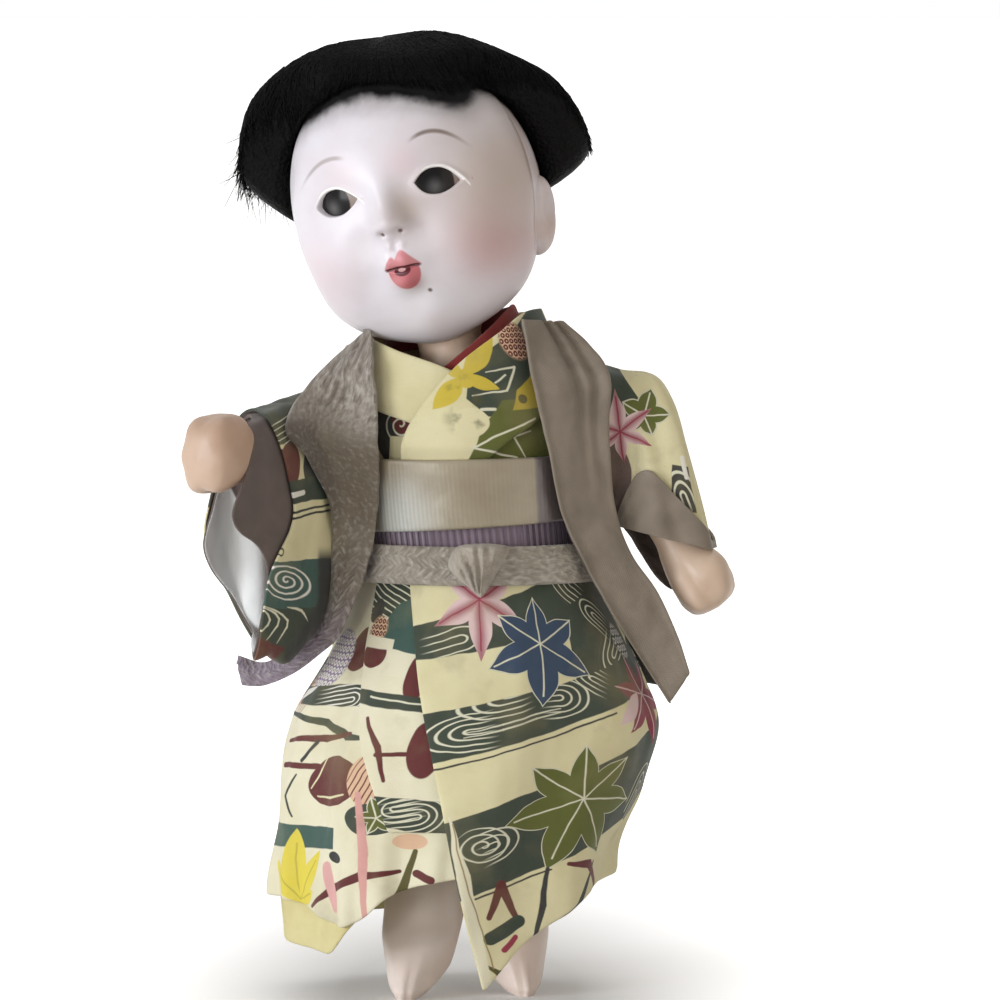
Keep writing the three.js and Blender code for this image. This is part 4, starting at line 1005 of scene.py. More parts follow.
# Legs and fists
def lower_leg(side, x, y, turn):
    """A moulded leg: round calf, soft ankle, and a foot that points down to its toes."""
    rows = ((0, 5.4, 11), (1.6, 7, 11.8), (5, 8, 10.8), (9, 8.6, 8.8), (13, 8.8, 8), (18, 8.7, 7.8),
            (26, 8.2, 7.6), (32, 7.8, 7.5), (40, 6.9, 6.9), (LEG_TOP, 6.2, 6.2))
    middles = through(((0, -3.5), (5, -2.8), (9, -1.6), (13, -0.5), (18, 0), (32, 0.6), (44, 0)))
    half_width = through([(r[0], r[1]) for r in rows])
    half_depth = through([(r[0], r[2]) for r in rows])
    spin = Matrix.Rotation(turn, 3, "Z")

    def point(angle, share):
        z = LEG_TOP * (0.5 + 0.5 * math.cos(math.pi * clamp(share * 1.06 - 0.03)))
        close = clamp(min(share, 1 - share) / 0.03)
        low = 1 - smooth(z, 3, 11)
        front = max(0.0, -math.sin(angle))
        toes = 0.4 * low * front**2 * math.cos(14 * math.cos(angle))
        narrow = 1 - 0.35 * low * front
        a = half_width(z) * narrow * math.cos(angle) * close
        b = middles(z) + (half_depth(z) + toes) * math.sin(angle) * close
        instep = -1.2 * smooth(z, 4, 10) * (1 - smooth(z, 10, 17)) * front * close
        heel = HEEL_LIFT * smooth(b, -14, 6) * (1 - smooth(z, 2, 24))
        return Vector((x, y, z + heel)) + spin @ Vector((a, b + instep, 0))

    bm = moulded(point, 48, 72)
    piece(f"{side}_moulded_leg", bm, f"{side}_leg", "composition", [f"{side}_lower_leg"], leg_skin)


def fist(side, shoulder, aim, across, half_width, half_height, skin):
    """A forearm that ends in a closed, blocky hand with a thumb and faint finger lines."""
    rows = [
        (16.3, 0.1, 0.1), (16.6, 3.2, 3.2), (20, 3.9, 3.9), (33, 3.7, 3.9), (37, 4.6, 5),
        (40.5, 0.9 * half_height, 0.92 * half_width), (45, half_height, half_width),
        (49, 0.92 * half_height, 0.9 * half_width), (51.2, 0.6 * half_height, 0.6 * half_width),
        (51.9, 0.1, 0.1),
    ]

    def lump(angle, at):
        hand = smooth(at, 38, 42)
        square = 0.9 * hand * (1 - smooth(at, 49, 51.5)) * math.sin(2 * angle) ** 2
        thumb = 1.3 * bell((angle - 2.4) * 5, at - 43.5, 3)
        fingers = -0.35 * smooth(at, 44, 48) * math.cos(angle * 6) * hand
        return square + thumb + fingers * (1 - smooth(at, 50, 51.8))

    bm = loft(rows, shoulder, shoulder + aim, across, 56, 72, lump)
    piece(f"{side}_moulded_fist", bm, f"{side}_arm", "composition", [f"{side}_forearm"], skin)


for leg in LEGS:
    lower_leg(*leg)
fist("right", SHOULDER_RIGHT, AIM_RIGHT + HAND_LIFT, (0, 0, 1), 6.5, 8, shaded_skin)
fist("left", SHOULDER_LEFT, AIM_LEFT, (0, 1, 0), 6.3, 6.6, composition_skin)


# Head: its own frame has the head centre at the origin, with the face towards -Y
HEAD_HALF_WIDTH, HEAD_HALF_DEPTH = 27, 28
CROWN, CHIN, NAPE = 31, 34, 27
HEAD_RISE, SEAM_PLANE = 39, -2.5
HEAD_TILT, HEAD_TURN = math.radians(-12.7), math.radians(-16)
SHELL_WALL, HAIR_WALL = 2, 0.5
HEAD_FRAME = (
    Matrix.Translation(NECK_JOINT)
    @ Matrix.Rotation(HEAD_TILT, 4, "Y")
    @ Matrix.Translation((0, 0, HEAD_RISE))
    @ Matrix.Rotation(HEAD_TURN, 4, "Z")
)
# Each eye: middle x, middle z, half width, and the droop of its outer end
EYES = {1: (12.8, 1.9, 4.7, math.radians(10)), -1: (-10.5, 1.8, 5.3, math.radians(2))}
EYE_UPPER, EYE_LOWER = 3.1, 2.7
# The lids run to a point at the doll's left end and stay round at the other
UPPER_POWER, ROUND_POWER = 1.8, 2.8
MOUTH_X, MOUTH_LEVEL, MOUTH_HALF = 1.35, -14.0, 3.7


# Height of the hair's edge by the way round the head from the face, to the doll's left, in degrees
hair_edge_height = through([
    (-180, -8), (-120, -7), (-95, -3), (-82, 1), (-75, 13), (-62, 21.5), (-45, 24), (-20, 26), (0, 26),
    (20, 25), (35, 24), (55, 22.4), (72, 20.6), (84, 18), (92, 13), (98, 4), (104, -4), (112, -7), (150, -8),
    (180, -8),
])

# How far the painted hairline comes down below that edge
hairline_dip = through([
    (-180, 0), (-75, 0), (-55, 1.6), (-30, 1.8), (0, 1.5), (20, 2), (38, 3.4), (48, 4.4), (58, 3.6),
    (72, 0.6), (90, 0), (180, 0),
])


def jaw(z, y=0.0):
    """How much fuller the jaw is than an egg, away from the face."""
    return 1 + 0.22 * smooth(-z, 10, 30) * smooth(y, -24, -6)


def skull(direction):
    """The plain egg of the head in a direction, with its outward direction there."""
    y = HEAD_HALF_DEPTH * direction.y
    underside = mix(CHIN, NAPE, smooth(y, -HEAD_HALF_DEPTH / 2, HEAD_HALF_DEPTH / 2))
    tall = CROWN if direction.z > 0 else underside
    z = tall * direction.z
    x = HEAD_HALF_WIDTH * direction.x * jaw(z, y)
    out = Vector((direction.x / HEAD_HALF_WIDTH, direction.y / HEAD_HALF_DEPTH, direction.z / tall))
    return Vector((x, y, z)), out.normalized()


def eye_edge(x, z):
    """How far a spot lies outside the eye opening on its side, and its place along and above the eye."""
    side = 1 if x > 0 else -1
    middle_x, middle_z, half, droop = EYES[side]
    a = (x - middle_x) * side
    b = z - middle_z
    along = (a * math.cos(droop) - b * math.sin(droop)) * side / half
    up = b * math.cos(droop) + a * math.sin(droop)
    tall = EYE_UPPER if up > 0 else EYE_LOWER
    power = UPPER_POWER if along > 0 else ROUND_POWER
    share = abs(along)
    steep = power * tall * share ** (power - 1) / half
    return (abs(up) - tall * (1 - share**power)) / math.hypot(1, steep), along, up


# Soft forms of the face: middle x, middle z, height, spread
FACE_FORMS = (
    (17, -12, 1.8, 6.5), (-15.5, -10.5, 1.8, 6.5),  # cheeks
    (1.3, -27, 1.5, 4.5), (1.3, -21.6, -0.8, 2.2),  # chin, and the dip over it
    (1.3, -13, 1.5, 4.2),  # the soft swelling round the mouth
    (7.4, -7, -0.9, 2.7), (-5.6, -8.5, -0.8, 2.6),  # the folds beside it
    (7.8, -15, -0.5, 2.4), (-5.8, -15.5, -0.6, 2.4),
    (0.6, 4, 0.7, 2.4), (0.9, 0, 1.5, 2.0), (1.2, -4.2, 3.5, 2.0),  # bridge and tip of the nose
    (-1.9, -4.9, 1.1, 1.2), (4.1, -4.8, 1.1, 1.2),  # its wings
    (-0.6, -6.4, -1.0, 0.5), (3.15, -6.3, -1.0, 0.5),  # nostrils
    (1.2, -9.2, -0.7, 0.75), (2.5, -9.4, 0.4, 0.6), (0.0, -9.4, 0.4, 0.6),  # groove over the lip
    (-0.9, -12.5, 0.9, 1.0), (2.3, -12.5, 0.9, 1.1), (1.3, -16.9, 1.4, 1.7),  # lips
    (12.1, 2.4, -1.1, 4.8), (-10.6, 2.8, -1.1, 4.8),  # eye hollows
    (5.6, 1.5, -0.6, 2.2), (-4.2, 1.5, -0.6, 2.2),
    (9.5, 10.5, 0.4, 5), (-9, 10, 0.4, 5),  # brows
)
EYE_POCKET = 2.4


def soft_forms(x, z):
    return sum(tall * bell(x - a, z - b, spread) for a, b, tall, spread in FACE_FORMS)


def face_relief(x, z):
    mouth = math.hypot((x - MOUTH_X) / MOUTH_HALF, (z - MOUTH_LEVEL) / 0.7)
    height = soft_forms(x, z) - 0.9 * (1 - smooth(mouth, 0.5, 1.1))
    edge, _, up = eye_edge(x, z)
    lid = 0.28 * bell(edge - 0.35, 0, 0.42) * mix(0.4, 1, smooth(up, -1.2, 0.3))
    return height + lid - EYE_POCKET * (1 - smooth(edge, -0.3, 0.1))


def head_point(direction):
    base, out = skull(direction)
    front = smooth(-base.y, 0, HEAD_HALF_DEPTH / 4)
    if front > 0:
        base += out * front * face_relief(base.x, base.z)
    return base


def head_mesh():
    """A ball, finer where the face has small forms, pressed to the head's shape."""
    bm = bmesh.new()
    bmesh.ops.create_uvsphere(bm, u_segments=80, v_segments=56, radius=1)

    def refine(inside, cuts):
        edges = [e for e in bm.edges if all(v.co.y < 0 and inside(skull(v.co)[0]) for v in e.verts)]
        bmesh.ops.subdivide_edges(bm, edges=edges, cuts=cuts, use_grid_fill=True)
        for vert in bm.verts:
            vert.co.normalize()

    refine(lambda p: p.z > 11, 1)
    refine(lambda p: abs(p.x) < 20 and -26 < p.z < 14, 1)
    refine(lambda p: abs(p.x) < 18.5 and -22 < p.z < 9, 1)
    refine(lambda p: abs(eye_edge(p.x, p.z)[0]) < 2.2, 1)
    refine(lambda p: abs(eye_edge(p.x, p.z)[0]) < 0.9, 1)
    refine(lambda p: abs(p.x - MOUTH_X) < 5.4 and -21 < p.z < -3, 1)
    flat_map = bm.loops.layers.uv.new("face")
    hairline = bm.verts.layers.float.new("hairline")
    flat = {vert: skull(vert.co)[0] for vert in bm.verts}
    for face in bm.faces:
        for loop in face.loops:
            at = flat[loop.vert]
            loop[flat_map].uv = (at.x / UV_MM, at.z / UV_MM)
    for vert, at in flat.items():
        around = math.degrees(math.atan2(at.x, -at.y))
        vert[hairline] = at.z - hair_edge_height(around) + hairline_dip(around)
        vert.co = head_point(vert.co)
    return bm


def to_head(bm):
    for vert in bm.verts:
        vert.co = place(HEAD_FRAME @ vert.co)
    return bm


def half_of_head(keep_front):
    bm = head_mesh()
    geometry = bm.verts[:] + bm.edges[:] + bm.faces[:]
    bmesh.ops.bisect_plane(
        bm, geom=geometry, plane_co=(0, SEAM_PLANE, 0), plane_no=(0, 1, 0),
        clear_outer=keep_front, clear_inner=not keep_front,
    )
    return bm


def painted_face():
    """Gofun with painted brows, lips, blush and the soft black edge of the hair, with painted shade on the
    doll's left of the face, beside the nose and in the nostrils, and painted highlights on the lower lip and
    along the upper lids.
    """
    paint = Print("gofun_face", HEAD_WHITE, HEAD_SHADE, 0)
    paint.shader.inputs["Coat Weight"].default_value = GOFUN_COAT
    paint.u, paint.v = paint.thread_u, paint.thread_v
    u, v = paint.u, paint.v

    def glow(at, spread, colour, strength):
        radius = paint.polar(at)[0]
        paint.over(colour, (-(radius * radius) / (2 * spread * spread)).math("EXPONENT") * strength)

    def oval(at, half_width, half_height, blur=0.15):
        a = (u - at[0]) / half_width
        b = (v - at[1]) / half_height
        return (a * a + b * b).under(1, blur)

    glow((19, -13), 5.6, dye(186, 104, 96), 0.5)
    glow((-18, -13), 6, dye(220, 176, 176), 0.3)
    # Painted shade over the doll's left side of the face, away from the light.
    glow((26, 0), 9.5, dye(192, 172, 156), 0.7)
    glow((6.5, 7.5), 3, dye(218, 182, 188), 0.35)
    glow((-8, 7.5), 3, dye(214, 190, 192), 0.3)
    # Painted shade beside the nose on the doll's left, where the nose's shadow falls.
    glow((5.4, -1.8), 3.0, dye(168, 146, 130), 0.6)
    for side, middle, top, bend, first, last, strength in (
        (1, 11.9, 12.6, 0.085, 7.6, 17.6, 0.85), (-1, 9.5, 11.3, 0.05, 5.6, 17.6, 0.5),
    ):
        along = u * side
        arch = v - top + (along - middle) * (along - middle) * bend
        ends = (along - first).rise(0, 3) * (along - last).under(0, 3)
        paint.over(dye(112, 92, 80), abs(arch).under(0.42, 0.3) * ends * strength)
    edge = paint.attribute("hairline") + (paint.noise(4, 4, paint.flat) - 0.5) * 3
    paint.over(dye(96, 90, 86), edge.rise(-8, -1) * 0.6)
    black = edge.rise(-3.8, -0.8)
    paint.over(dye(8, 7, 7), black)
    paint.feed(paint.shader.inputs["Specular IOR Level"], black * -0.48 + 0.5)
    glow((17.2, 17.4), 1.3, dye(20, 18, 18), 0.85)

    def peak(at, slope, top):
        return ((u - at) * (u - at) + 0.35).sqrt() * -slope + top

    peaks = peak(-0.3, 1.5, -10.4).math("MAXIMUM", peak(2.05, 1.4, -9.4))
    paint.over(dye(206, 132, 138), (v - peaks).under(0, 0.3) * (v - MOUTH_LEVEL).rise(-0.3, 0))
    lower = oval((1.4, -15), 3.3, 3.5, 0.12) * (v - MOUTH_LEVEL).under(0)
    paint.over(dye(194, 106, 112), lower)
    # A painted highlight on the lower lip's lit side, and painted shade low on its other side.
    glow((-0.4, -16.4), 1.1, dye(220, 150, 154), 0.6)
    glow((3, -17.4), 1.0, dye(150, 68, 76), 0.5)
    bow = (u - MOUTH_X) / MOUTH_HALF
    slit = v - MOUTH_LEVEL + bow * bow * 0.3 - 0.15
    paint.over(dye(70, 10, 22), abs(slit).under(0.3) * abs(bow).under(1, 0.1))
    paint.over(dye(84, 14, 28), oval((1.2, -14.45), 1.7, 0.9))
    paint.over(dye(208, 164, 164), oval((1.1, -14.35), 0.8, 0.28))
    paint.over(dye(110, 96, 90), paint.polar((4.9, -20.2))[0].under(0.42, 0.25))
    # Painted shade in the pierced nostrils.
    for nostril in ((-0.6, -6.5), (3.15, -6.4)):
        paint.over(dye(104, 80, 74), paint.polar(nostril)[0].under(0.42, 0.25))
    # A painted highlight along each upper lid's edge, where it catches the light.
    for side, (middle_x, middle_z, half, droop) in EYES.items():
        a, b = (u - middle_x) * side, v - middle_z
        along = (a * math.cos(droop) - b * math.sin(droop)) * (side / half)
        up = b * math.cos(droop) + a * math.sin(droop)
        ends = along.math("MAXIMUM", 0) ** UPPER_POWER + (-along).math("MAXIMUM", 0) ** ROUND_POWER
        rim = abs(up - (-ends + 1) * EYE_UPPER - 0.3).under(0.3, 0.12)
        paint.over(dye(252, 250, 248), rim * (along + 0.75).rise(-0.2, 0.2) * along.under(1.25, 0.05))
    paint.roughness = paint.noise(9, 3, paint.flat) * 0.16 + 0.36
    paint.raised((paint.noise(4, 4, paint.flat) - 0.5) * 0.04)
    return paint.done()


face = piece("gofun_face", to_head(half_of_head(True)), "head", "gofun", ["face_mask"], painted_face())
thicken(face, "shell", SHELL_WALL)

EAR_LEVEL = -10.5


def add_ear(bm, side):
    """A plain moulded ear with a raised rim and a hollow."""
    made = bmesh.ops.create_uvsphere(bm, u_segments=28, v_segments=22, radius=1)
    hairline = bm.verts.layers.float["hairline"]
    for vert in made["verts"]:
        p = vert.co.copy()
        vert[hairline] = -20
        hollow = 0.55 * bell(p.y + 0.25, p.z - 0.15, 0.42) * smooth(p.x * side, 0.2, 0.8)
        lobe = 1 - 0.25 * smooth(-p.z, 0.2, 1)
        z = EAR_LEVEL + 8.6 * p.z
        beside = HEAD_HALF_WIDTH * math.sqrt(1 - (z / CHIN) ** 2) * jaw(z)
        x = side * (beside - 1.2) + 4.4 * (p.x - side * hollow)
        y = SEAM_PLANE + 5 + 4.7 * p.y * lobe + 1.6 * abs(p.x)
        vert.co = Vector((x, y, z))


back_of_head = half_of_head(False)
for side in (-1, 1):
    add_ear(back_of_head, side)
skull_white = gofun("gofun_skull", HEAD_WHITE, HEAD_SHADE)
skull_white.over(dye(204, 172, 154), (skull_white.noise(9, 3) - 0.36) * 1.6)
back_edge = skull_white.attribute("hairline") + (skull_white.noise(4, 4) - 0.5) * 3
skull_white.over(dye(96, 84, 76), back_edge.rise(-9, -1) * 0.6)
back_black = back_edge.rise(-3.8, -0.8)
skull_white.over(dye(8, 7, 7), back_black)
skull_white.feed(skull_white.shader.inputs["Specular IOR Level"], back_black * -0.48 + 0.5)
piece("gofun_back", to_head(back_of_head), "head", "gofun", ["head_back"], skull_white.done())


EYEBALL, EYEBALL_DEPTH = 7.6, 4.2


def glass_eye(side):
    """A dark glass eye, a little flat in front, turned with the face there."""
    middle_x, middle_z = EYES[side][:2]
    spot = Vector((middle_x / HEAD_HALF_WIDTH, 0, middle_z / CROWN))
    spot.y = -math.sqrt(1 - spot.x**2 - spot.z**2)
    base, out = skull(spot)
    middle = base + out * (soft_forms(middle_x, middle_z) - 0.05 - EYEBALL_DEPTH)
    turn = Matrix.Rotation(math.atan2(out.x, -out.y), 3, "Z")
    bm = bmesh.new()
    bmesh.ops.create_uvsphere(bm, u_segments=40, v_segments=28, radius=1)
    layer = bm.loops.layers.uv.new("eye")
    for face in bm.faces:
        for loop in face.loops:
            loop[layer].uv = (loop.vert.co.x * EYEBALL / UV_MM, loop.vert.co.z * EYEBALL / UV_MM)
    for vert in bm.verts:
        at = vert.co
        vert.co = middle + turn @ Vector((EYEBALL * at.x, EYEBALL_DEPTH * at.y, EYEBALL * at.z))
    return to_head(bm)


def eye_glass(name, glance):
    """Dark brown glass with a paler rim darkened by painted shade, and a painted reflection on the iris.
    Glance is how far its iris looks to the doll's left.
    """
    # The paler glass round the iris is darkened with painted shade, as the eye's corners lie in shadow under
    # the lids.
    glass = Print(name, dye(150, 138, 130), dye(118, 106, 98), 0)
    glass.shader.inputs["Specular IOR Level"].default_value = 0.14
    glass.u, glass.v = glass.thread_u, glass.thread_v
    iris = glass.polar((glance, 0))[0]
    glass.over(dye(30, 21, 19), iris.under(4.7, 0.25))
    glass.over(dye(15, 11, 11), iris.under(4.0, 0.6))
    glass.over(dye(4, 3, 3), iris.under(2.3, 0.3))
    # A painted reflection: a soft grey spot low on the iris.
    painted_highlight = glass.polar((glance + 0.2, -0.7))[0]
    glass.over(dye(112, 110, 112), (-(painted_highlight * painted_highlight) / 2.4).math("EXPONENT") * 0.6)
    glass.roughness = glass.noise(3, 2, glass.flat) * 0.08 + 0.14
    return glass.done()


for name, side, glance in (("right", -1, -1.5), ("left", 1, -0.9)):
    dark_glass = eye_glass(f"{name}_eye_glass", glance)
    piece(f"{name}_glass_eye", glass_eye(side), "head", "glass_eye", [f"{name}_eye"], dark_glass)


# Hair: a full bowl cut that curls in to the head at its edge, under many fine strands
hair_thickness = through([
    (-180, 9), (-130, 10.5), (-100, 12.3), (-80, 11.5), (-65, 7), (-45, 4.5), (0, 3.2), (45, 4), (65, 6.5),
    (80, 10), (100, 11.5), (130, 10.5), (180, 9),
])
CROWN_HAIR = 2.3
NAPE_HAIR = 30


def over_brow(around):
    """1 where the hair lies flat over the forehead and temples, 0 where it stands full."""
    return smooth(around, -78, -64) * (1 - smooth(around, 82, 98))


def hair_fullness(around, share):
    """How far the hair stands off the head: flat at the forehead, and curling in elsewhere."""
    left = 0.5 + 0.5 * math.sin(math.radians(around))
    full = mix(CROWN_HAIR, hair_thickness(around), smooth(share, mix(0, 0.1, left), mix(0.62, 0.8, left)))
    curl = 1 - clamp((share - 0.84) / 0.16) ** 3
    return full * mix(curl, 1 - smooth(share, 0.45, 0.97), over_brow(around)) + 0.3


def hair_point(around, share, lift=0.0):
    """A point of the hair. Around is measured from the face, to the doll's left, in degrees."""
    around = (around + 180) % 360 - 180
    turn = math.radians(around)
    edge = hair_edge_height(around)
    tilt = share * math.acos(edge / (CROWN if edge > 0 else NAPE_HAIR))
    direction = Vector((math.sin(tilt) * math.sin(turn), -math.sin(tilt) * math.cos(turn), math.cos(tilt)))
    base, out = skull(direction)
    sideways = Vector((math.sin(turn), -math.cos(turn), 0.36 - 0.28 * math.sin(turn))).normalized()
    away = out.lerp(sideways, smooth(share, 0.1, 0.6)).normalized()
    return base + away * (hair_fullness(around, share) + lift)


def hair_cap():
    bm = bmesh.new()
    bmesh.ops.create_grid(bm, x_segments=150, y_segments=44, size=0.5)
    for vert in bm.verts:
        around, share = 360 * (vert.co.x + 0.5), vert.co.y + 0.5
        turn = math.radians(around)
        locks = 0.5 * crease((14 * math.cos(turn), 14 * math.sin(turn), 3 * share), 1.6)
        vert.co = hair_point(around, share, locks * smooth(share, 0.1, 0.5) * (1 - smooth(share, 0.8, 1)))
    bmesh.ops.remove_doubles(bm, verts=bm.verts, dist=0.02)
    bmesh.ops.recalc_face_normals(bm, faces=bm.faces)
    return to_head(bm)


def hair_finish():
    strands = Finish("black_hair", dye(4, 3, 3), specular=0.07)
    strands.over(dye(12, 10, 8), (strands.noise(2, 4) - 0.5) * 2)
    strands.roughness = strands.noise(1.5, 3) * 0.3 + 0.42
    strands.raised((strands.noise(0.8, 3) - 0.5) * 0.6)
    return strands.done()


def strand_mesh(name, strands, radius):
    """Fine tapered strands, each a list of points, as one mesh."""
    curve = bpy.data.curves.new(name, "CURVE")
    curve.dimensions = "3D"
    curve.bevel_depth = radius * MM
    curve.bevel_resolution = 0
    for points in strands:
        spline = curve.splines.new("POLY")
        spline.points.add(len(points) - 1)
        for i, (target, point) in enumerate(zip(spline.points, points)):
            target.co = (*place(HEAD_FRAME @ point), 1)
            target.radius = 1 - 0.85 * i / (len(points) - 1)
    shaped = bpy.data.objects.new(name + "_path", curve)
    scene.collection.objects.link(shaped)
    bpy.context.view_layer.update()
    mesh = bpy.data.meshes.new_from_object(shaped.evaluated_get(bpy.context.evaluated_depsgraph_get()))
    bm = bmesh.new()
    bm.from_mesh(mesh)
    bpy.data.objects.remove(shaped)
    bpy.data.meshes.remove(mesh)
    return bm


def combed_strands(count):
    """Strands that follow the bowl cut, ragged over the forehead and tousled at the doll's right."""
    rng = random.Random(4)
    strands = []
    for _ in range(count):
        around = rng.uniform(-180, 180)
        fringe = over_brow(around)
        tousled = smooth(-around, 60, 80) * (1 - smooth(-around, 125, 155))
        start = rng.uniform(0.02, 0.6)
        end = mix(rng.uniform(0.82, 0.9), rng.uniform(0.92, 1.03 + 0.045 * hairline_dip(around)), fringe)
        drift = rng.gauss(0, 3 + 4 * tousled)
        lift = rng.uniform(0.05, 0.55)
        steps = [step / 5 for step in range(6)]
        points = [hair_point(around + drift * s, mix(start, end, s), lift) for s in steps]
        run = (points[-1] - points[-2]).normalized()
        stray = Vector((rng.gauss(0, 0.3), rng.gauss(0, 0.3), rng.gauss(0, 0.3)))
        tail = rng.uniform(0.2, 1.6) * (1 - fringe) + rng.uniform(0, 4.2) * tousled
        if tail > 0.1:
            points.append(points[-1] + (run + stray * (0.4 + tousled)) * tail)
        strands.append(points)
    return strands


black_hair = hair_finish()
cap = piece("hair_cap", hair_cap(), "head", "hair", ["wig"], black_hair)
thicken(cap, "depth", HAIR_WALL)
piece("hair_strands", strand_mesh("hair", combed_strands(3600), 0.3), "head", "hair", [], black_hair)

neck_rows = [(-8, 0.1, 0.1), (-7.2, 3.4, 3.4), (-4.5, 6.6, 6.6), (0, 8, 8), (3.6, 7.2, 7.2), (6, 7, 7),
             (12, 7.2, 7.2), (12.3, 0.1, 0.1)]
neck = loft(neck_rows, NECK_JOINT, HEAD_FRAME.translation, (0, 1, 0), 48, 48)
piece("round_neck_plug", neck, "head", "turned_wood", ["neck_plug"], composition_skin)

# Pieces that keep their solid shape get the composition finish, with smooth shading except at sharp edges.
for node in ("shoulder_plate", "hip_block"):
    solid = frame["nodes"][node].data
    solid.materials.clear()
    solid.materials.append(composition_skin)
    solid.polygons.foreach_set("use_smooth", [True] * len(solid.polygons))
    solid.set_sharp_from_angle(angle=math.radians(52))


# Kimono skirt
def form_flat(radius):
    return lambda angle, z: (radius * (angle + math.pi / 2), z)


FOLDS_FROM, FOLDS_ROUND = 38, 25  # height where the hem's folds begin, and how many would go round


def panel(angle_at, low_at, high_at, offset_at, columns, rows, radius, seed, wrinkle=0.35, folds=0.0):
    """Cloth on the form, with soft random creases, and folds that open towards its hem."""
    flat = form_flat(radius)

    def spot(u, v):
        z = mix(low_at(u), high_at(u), v)
        return angle_at(u, z), z

    def surface(u, v):
        angle, z = spot(u, v)
        out = offset_at(u, z) + CLOTH
        point = on_form(angle, z, out)
        lift = wrinkle * (0.5 + crease((point.x, point.y, 0.45 * z), 9, seed))
        lift += 0.6 * wrinkle * crease((point.x, point.y, 0.2 * z), 3.4, seed + 5)
        opened = folds * smooth(FOLDS_FROM - z, 0, 18) * smooth(-math.degrees(angle), 100, 118)
        lift += opened * (1 + math.sin(FOLDS_ROUND * angle + 2 * crease((point.x, point.y, 0), 12, seed)))
        return on_form(angle, z, out + lift)

    return sheet_mesh(surface, columns, rows, lambda u, v: flat(*spot(u, v)))


def level(value):
    return lambda *_: value


# Heights of the hems by angle, and angles of the front edges by height
SKIRT_TOP = 93.9
back_hem = through([(0, 27), (40, 20), (90, 15), (140, 14), (180, 14)])
right_hem = through([
    (180, 22), (205, 21.5), (220, 19), (232, 17), (240, 19), (252, 25), (270, 28), (300, 31),
])
left_hem = through([(-79, 4.5), (-65, 13), (-52, 18.5), (-35, 24), (0, 27)])
left_edge = through([(4, -80), (44, -96), (SKIRT_TOP, -124)])
pleat_edge = through([(37, -111), (70, -135), (SKIRT_TOP, -148)])
SEAM_GAP = math.radians(0.6)


def skirt_sheet(name, mesh, nodes, outside):
    """A panel of the skirt, lined with cream and gathered under the belt."""
    sides = (outside, cream_lining)
    sewn(name, mesh, nodes, "torso", "printed_silk", sides)


def radians(*values):
    return [math.radians(v) for v in values]


skirt_sheet(
    "skirt_back_cloth",
    panel(lambda u, z: mix(SEAM_GAP, math.pi - SEAM_GAP, u), lambda u: back_hem(180 * u), level(SKIRT_TOP),
          level(0), 90, 50, SKIRT_RADIUS, 1),
    ["skirt_back"], wide_silk,
)
right_from, right_to = radians(-179.4, -60)
skirt_sheet(
    "skirt_under_panel",
    panel(lambda u, z: mix(right_from, right_to, u), lambda u: right_hem(mix(180, 300, u)), level(SKIRT_TOP),
          level(0), 110, 64, SKIRT_RADIUS, 2, 1, 0.9),
    ["skirt_right_front"], under_panel_silk,
)
hem_from, hem_to = radians(-178, -122)
hem_lining_low = through([(0, 14), (0.1, 12.6), (0.5, 11), (0.72, 10.6), (0.8, 12.5), (1, 19)])
skirt_sheet(
    "skirt_turned_hem",
    panel(lambda u, z: mix(hem_from, hem_to, u), hem_lining_low, level(30), level(-1.1), 40, 14,
          SKIRT_RADIUS, 3, 0.5),
    [], cream_lining,
)
skirt_sheet(
    "skirt_hanging_pleat",
    panel(lambda u, z: math.radians(mix(pleat_edge(z), left_edge(z) + 9, u)), level(38), level(SKIRT_TOP),
          level(1.15), 30, 50, SKIRT_RADIUS, 4),
    ["skirt_pleat"], pleat_silk,
)
skirt_sheet(
    "skirt_over_panel",
    panel(lambda u, z: mix(math.radians(left_edge(z)), -SEAM_GAP, u), lambda u: left_hem(mix(-80, 0, u)),
          level(SKIRT_TOP), lambda u, z: 2.3 * (1 - smooth(u, 0.72, 1)), 84, 64, SKIRT_RADIUS, 5, 0.55),
    ["skirt_left_front"], over_panel_silk,
)


# Kimono top: a back and two fronts, with a collar band on each and a red under-collar
def top_sheet(name, mesh, node, outside, inside, slot, thickness=SILK):
    """A piece of the kimono's top, folded over the shoulders."""
    sides = (outside, inside)
    sewn(name, mesh, [node], "torso", slot, sides, thickness)


ARMHOLE = math.radians(30)
UNDER_SASH = 97.6
neckline = through([(0, 139), (0.35, 135), (0.75, 122.2), (1, 118.7)])
top_sheet(
    "kimono_back_cloth",
    panel(lambda u, z: mix(ARMHOLE, math.pi - ARMHOLE, u), level(UNDER_SASH), level(140.5), level(0), 40, 36,
          BODICE_RADIUS, 6, 0.1),
    "kimono_back", wide_silk, muslin, "printed_silk",
)
front_from, front_to = radians(-150, -78)
top_sheet(
    "kimono_under_front",
    panel(lambda u, z: mix(front_from, front_to, u), level(UNDER_SASH), neckline, level(0), 36, 36,
          BODICE_RADIUS, 7, 0.1),
    "kimono_right_front", under_front_silk, muslin, "printed_silk",
)
over_from, over_to = radians(-104, -30)
top_sheet(
    "kimono_over_front",
    panel(lambda u, z: mix(over_from, over_to, u), level(UNDER_SASH), lambda u: neckline(1 - u), level(1.15),
          36, 36, BODICE_RADIUS, 8, 0.1),
    "kimono_left_front", over_collar_silk, muslin, "printed_silk",
)


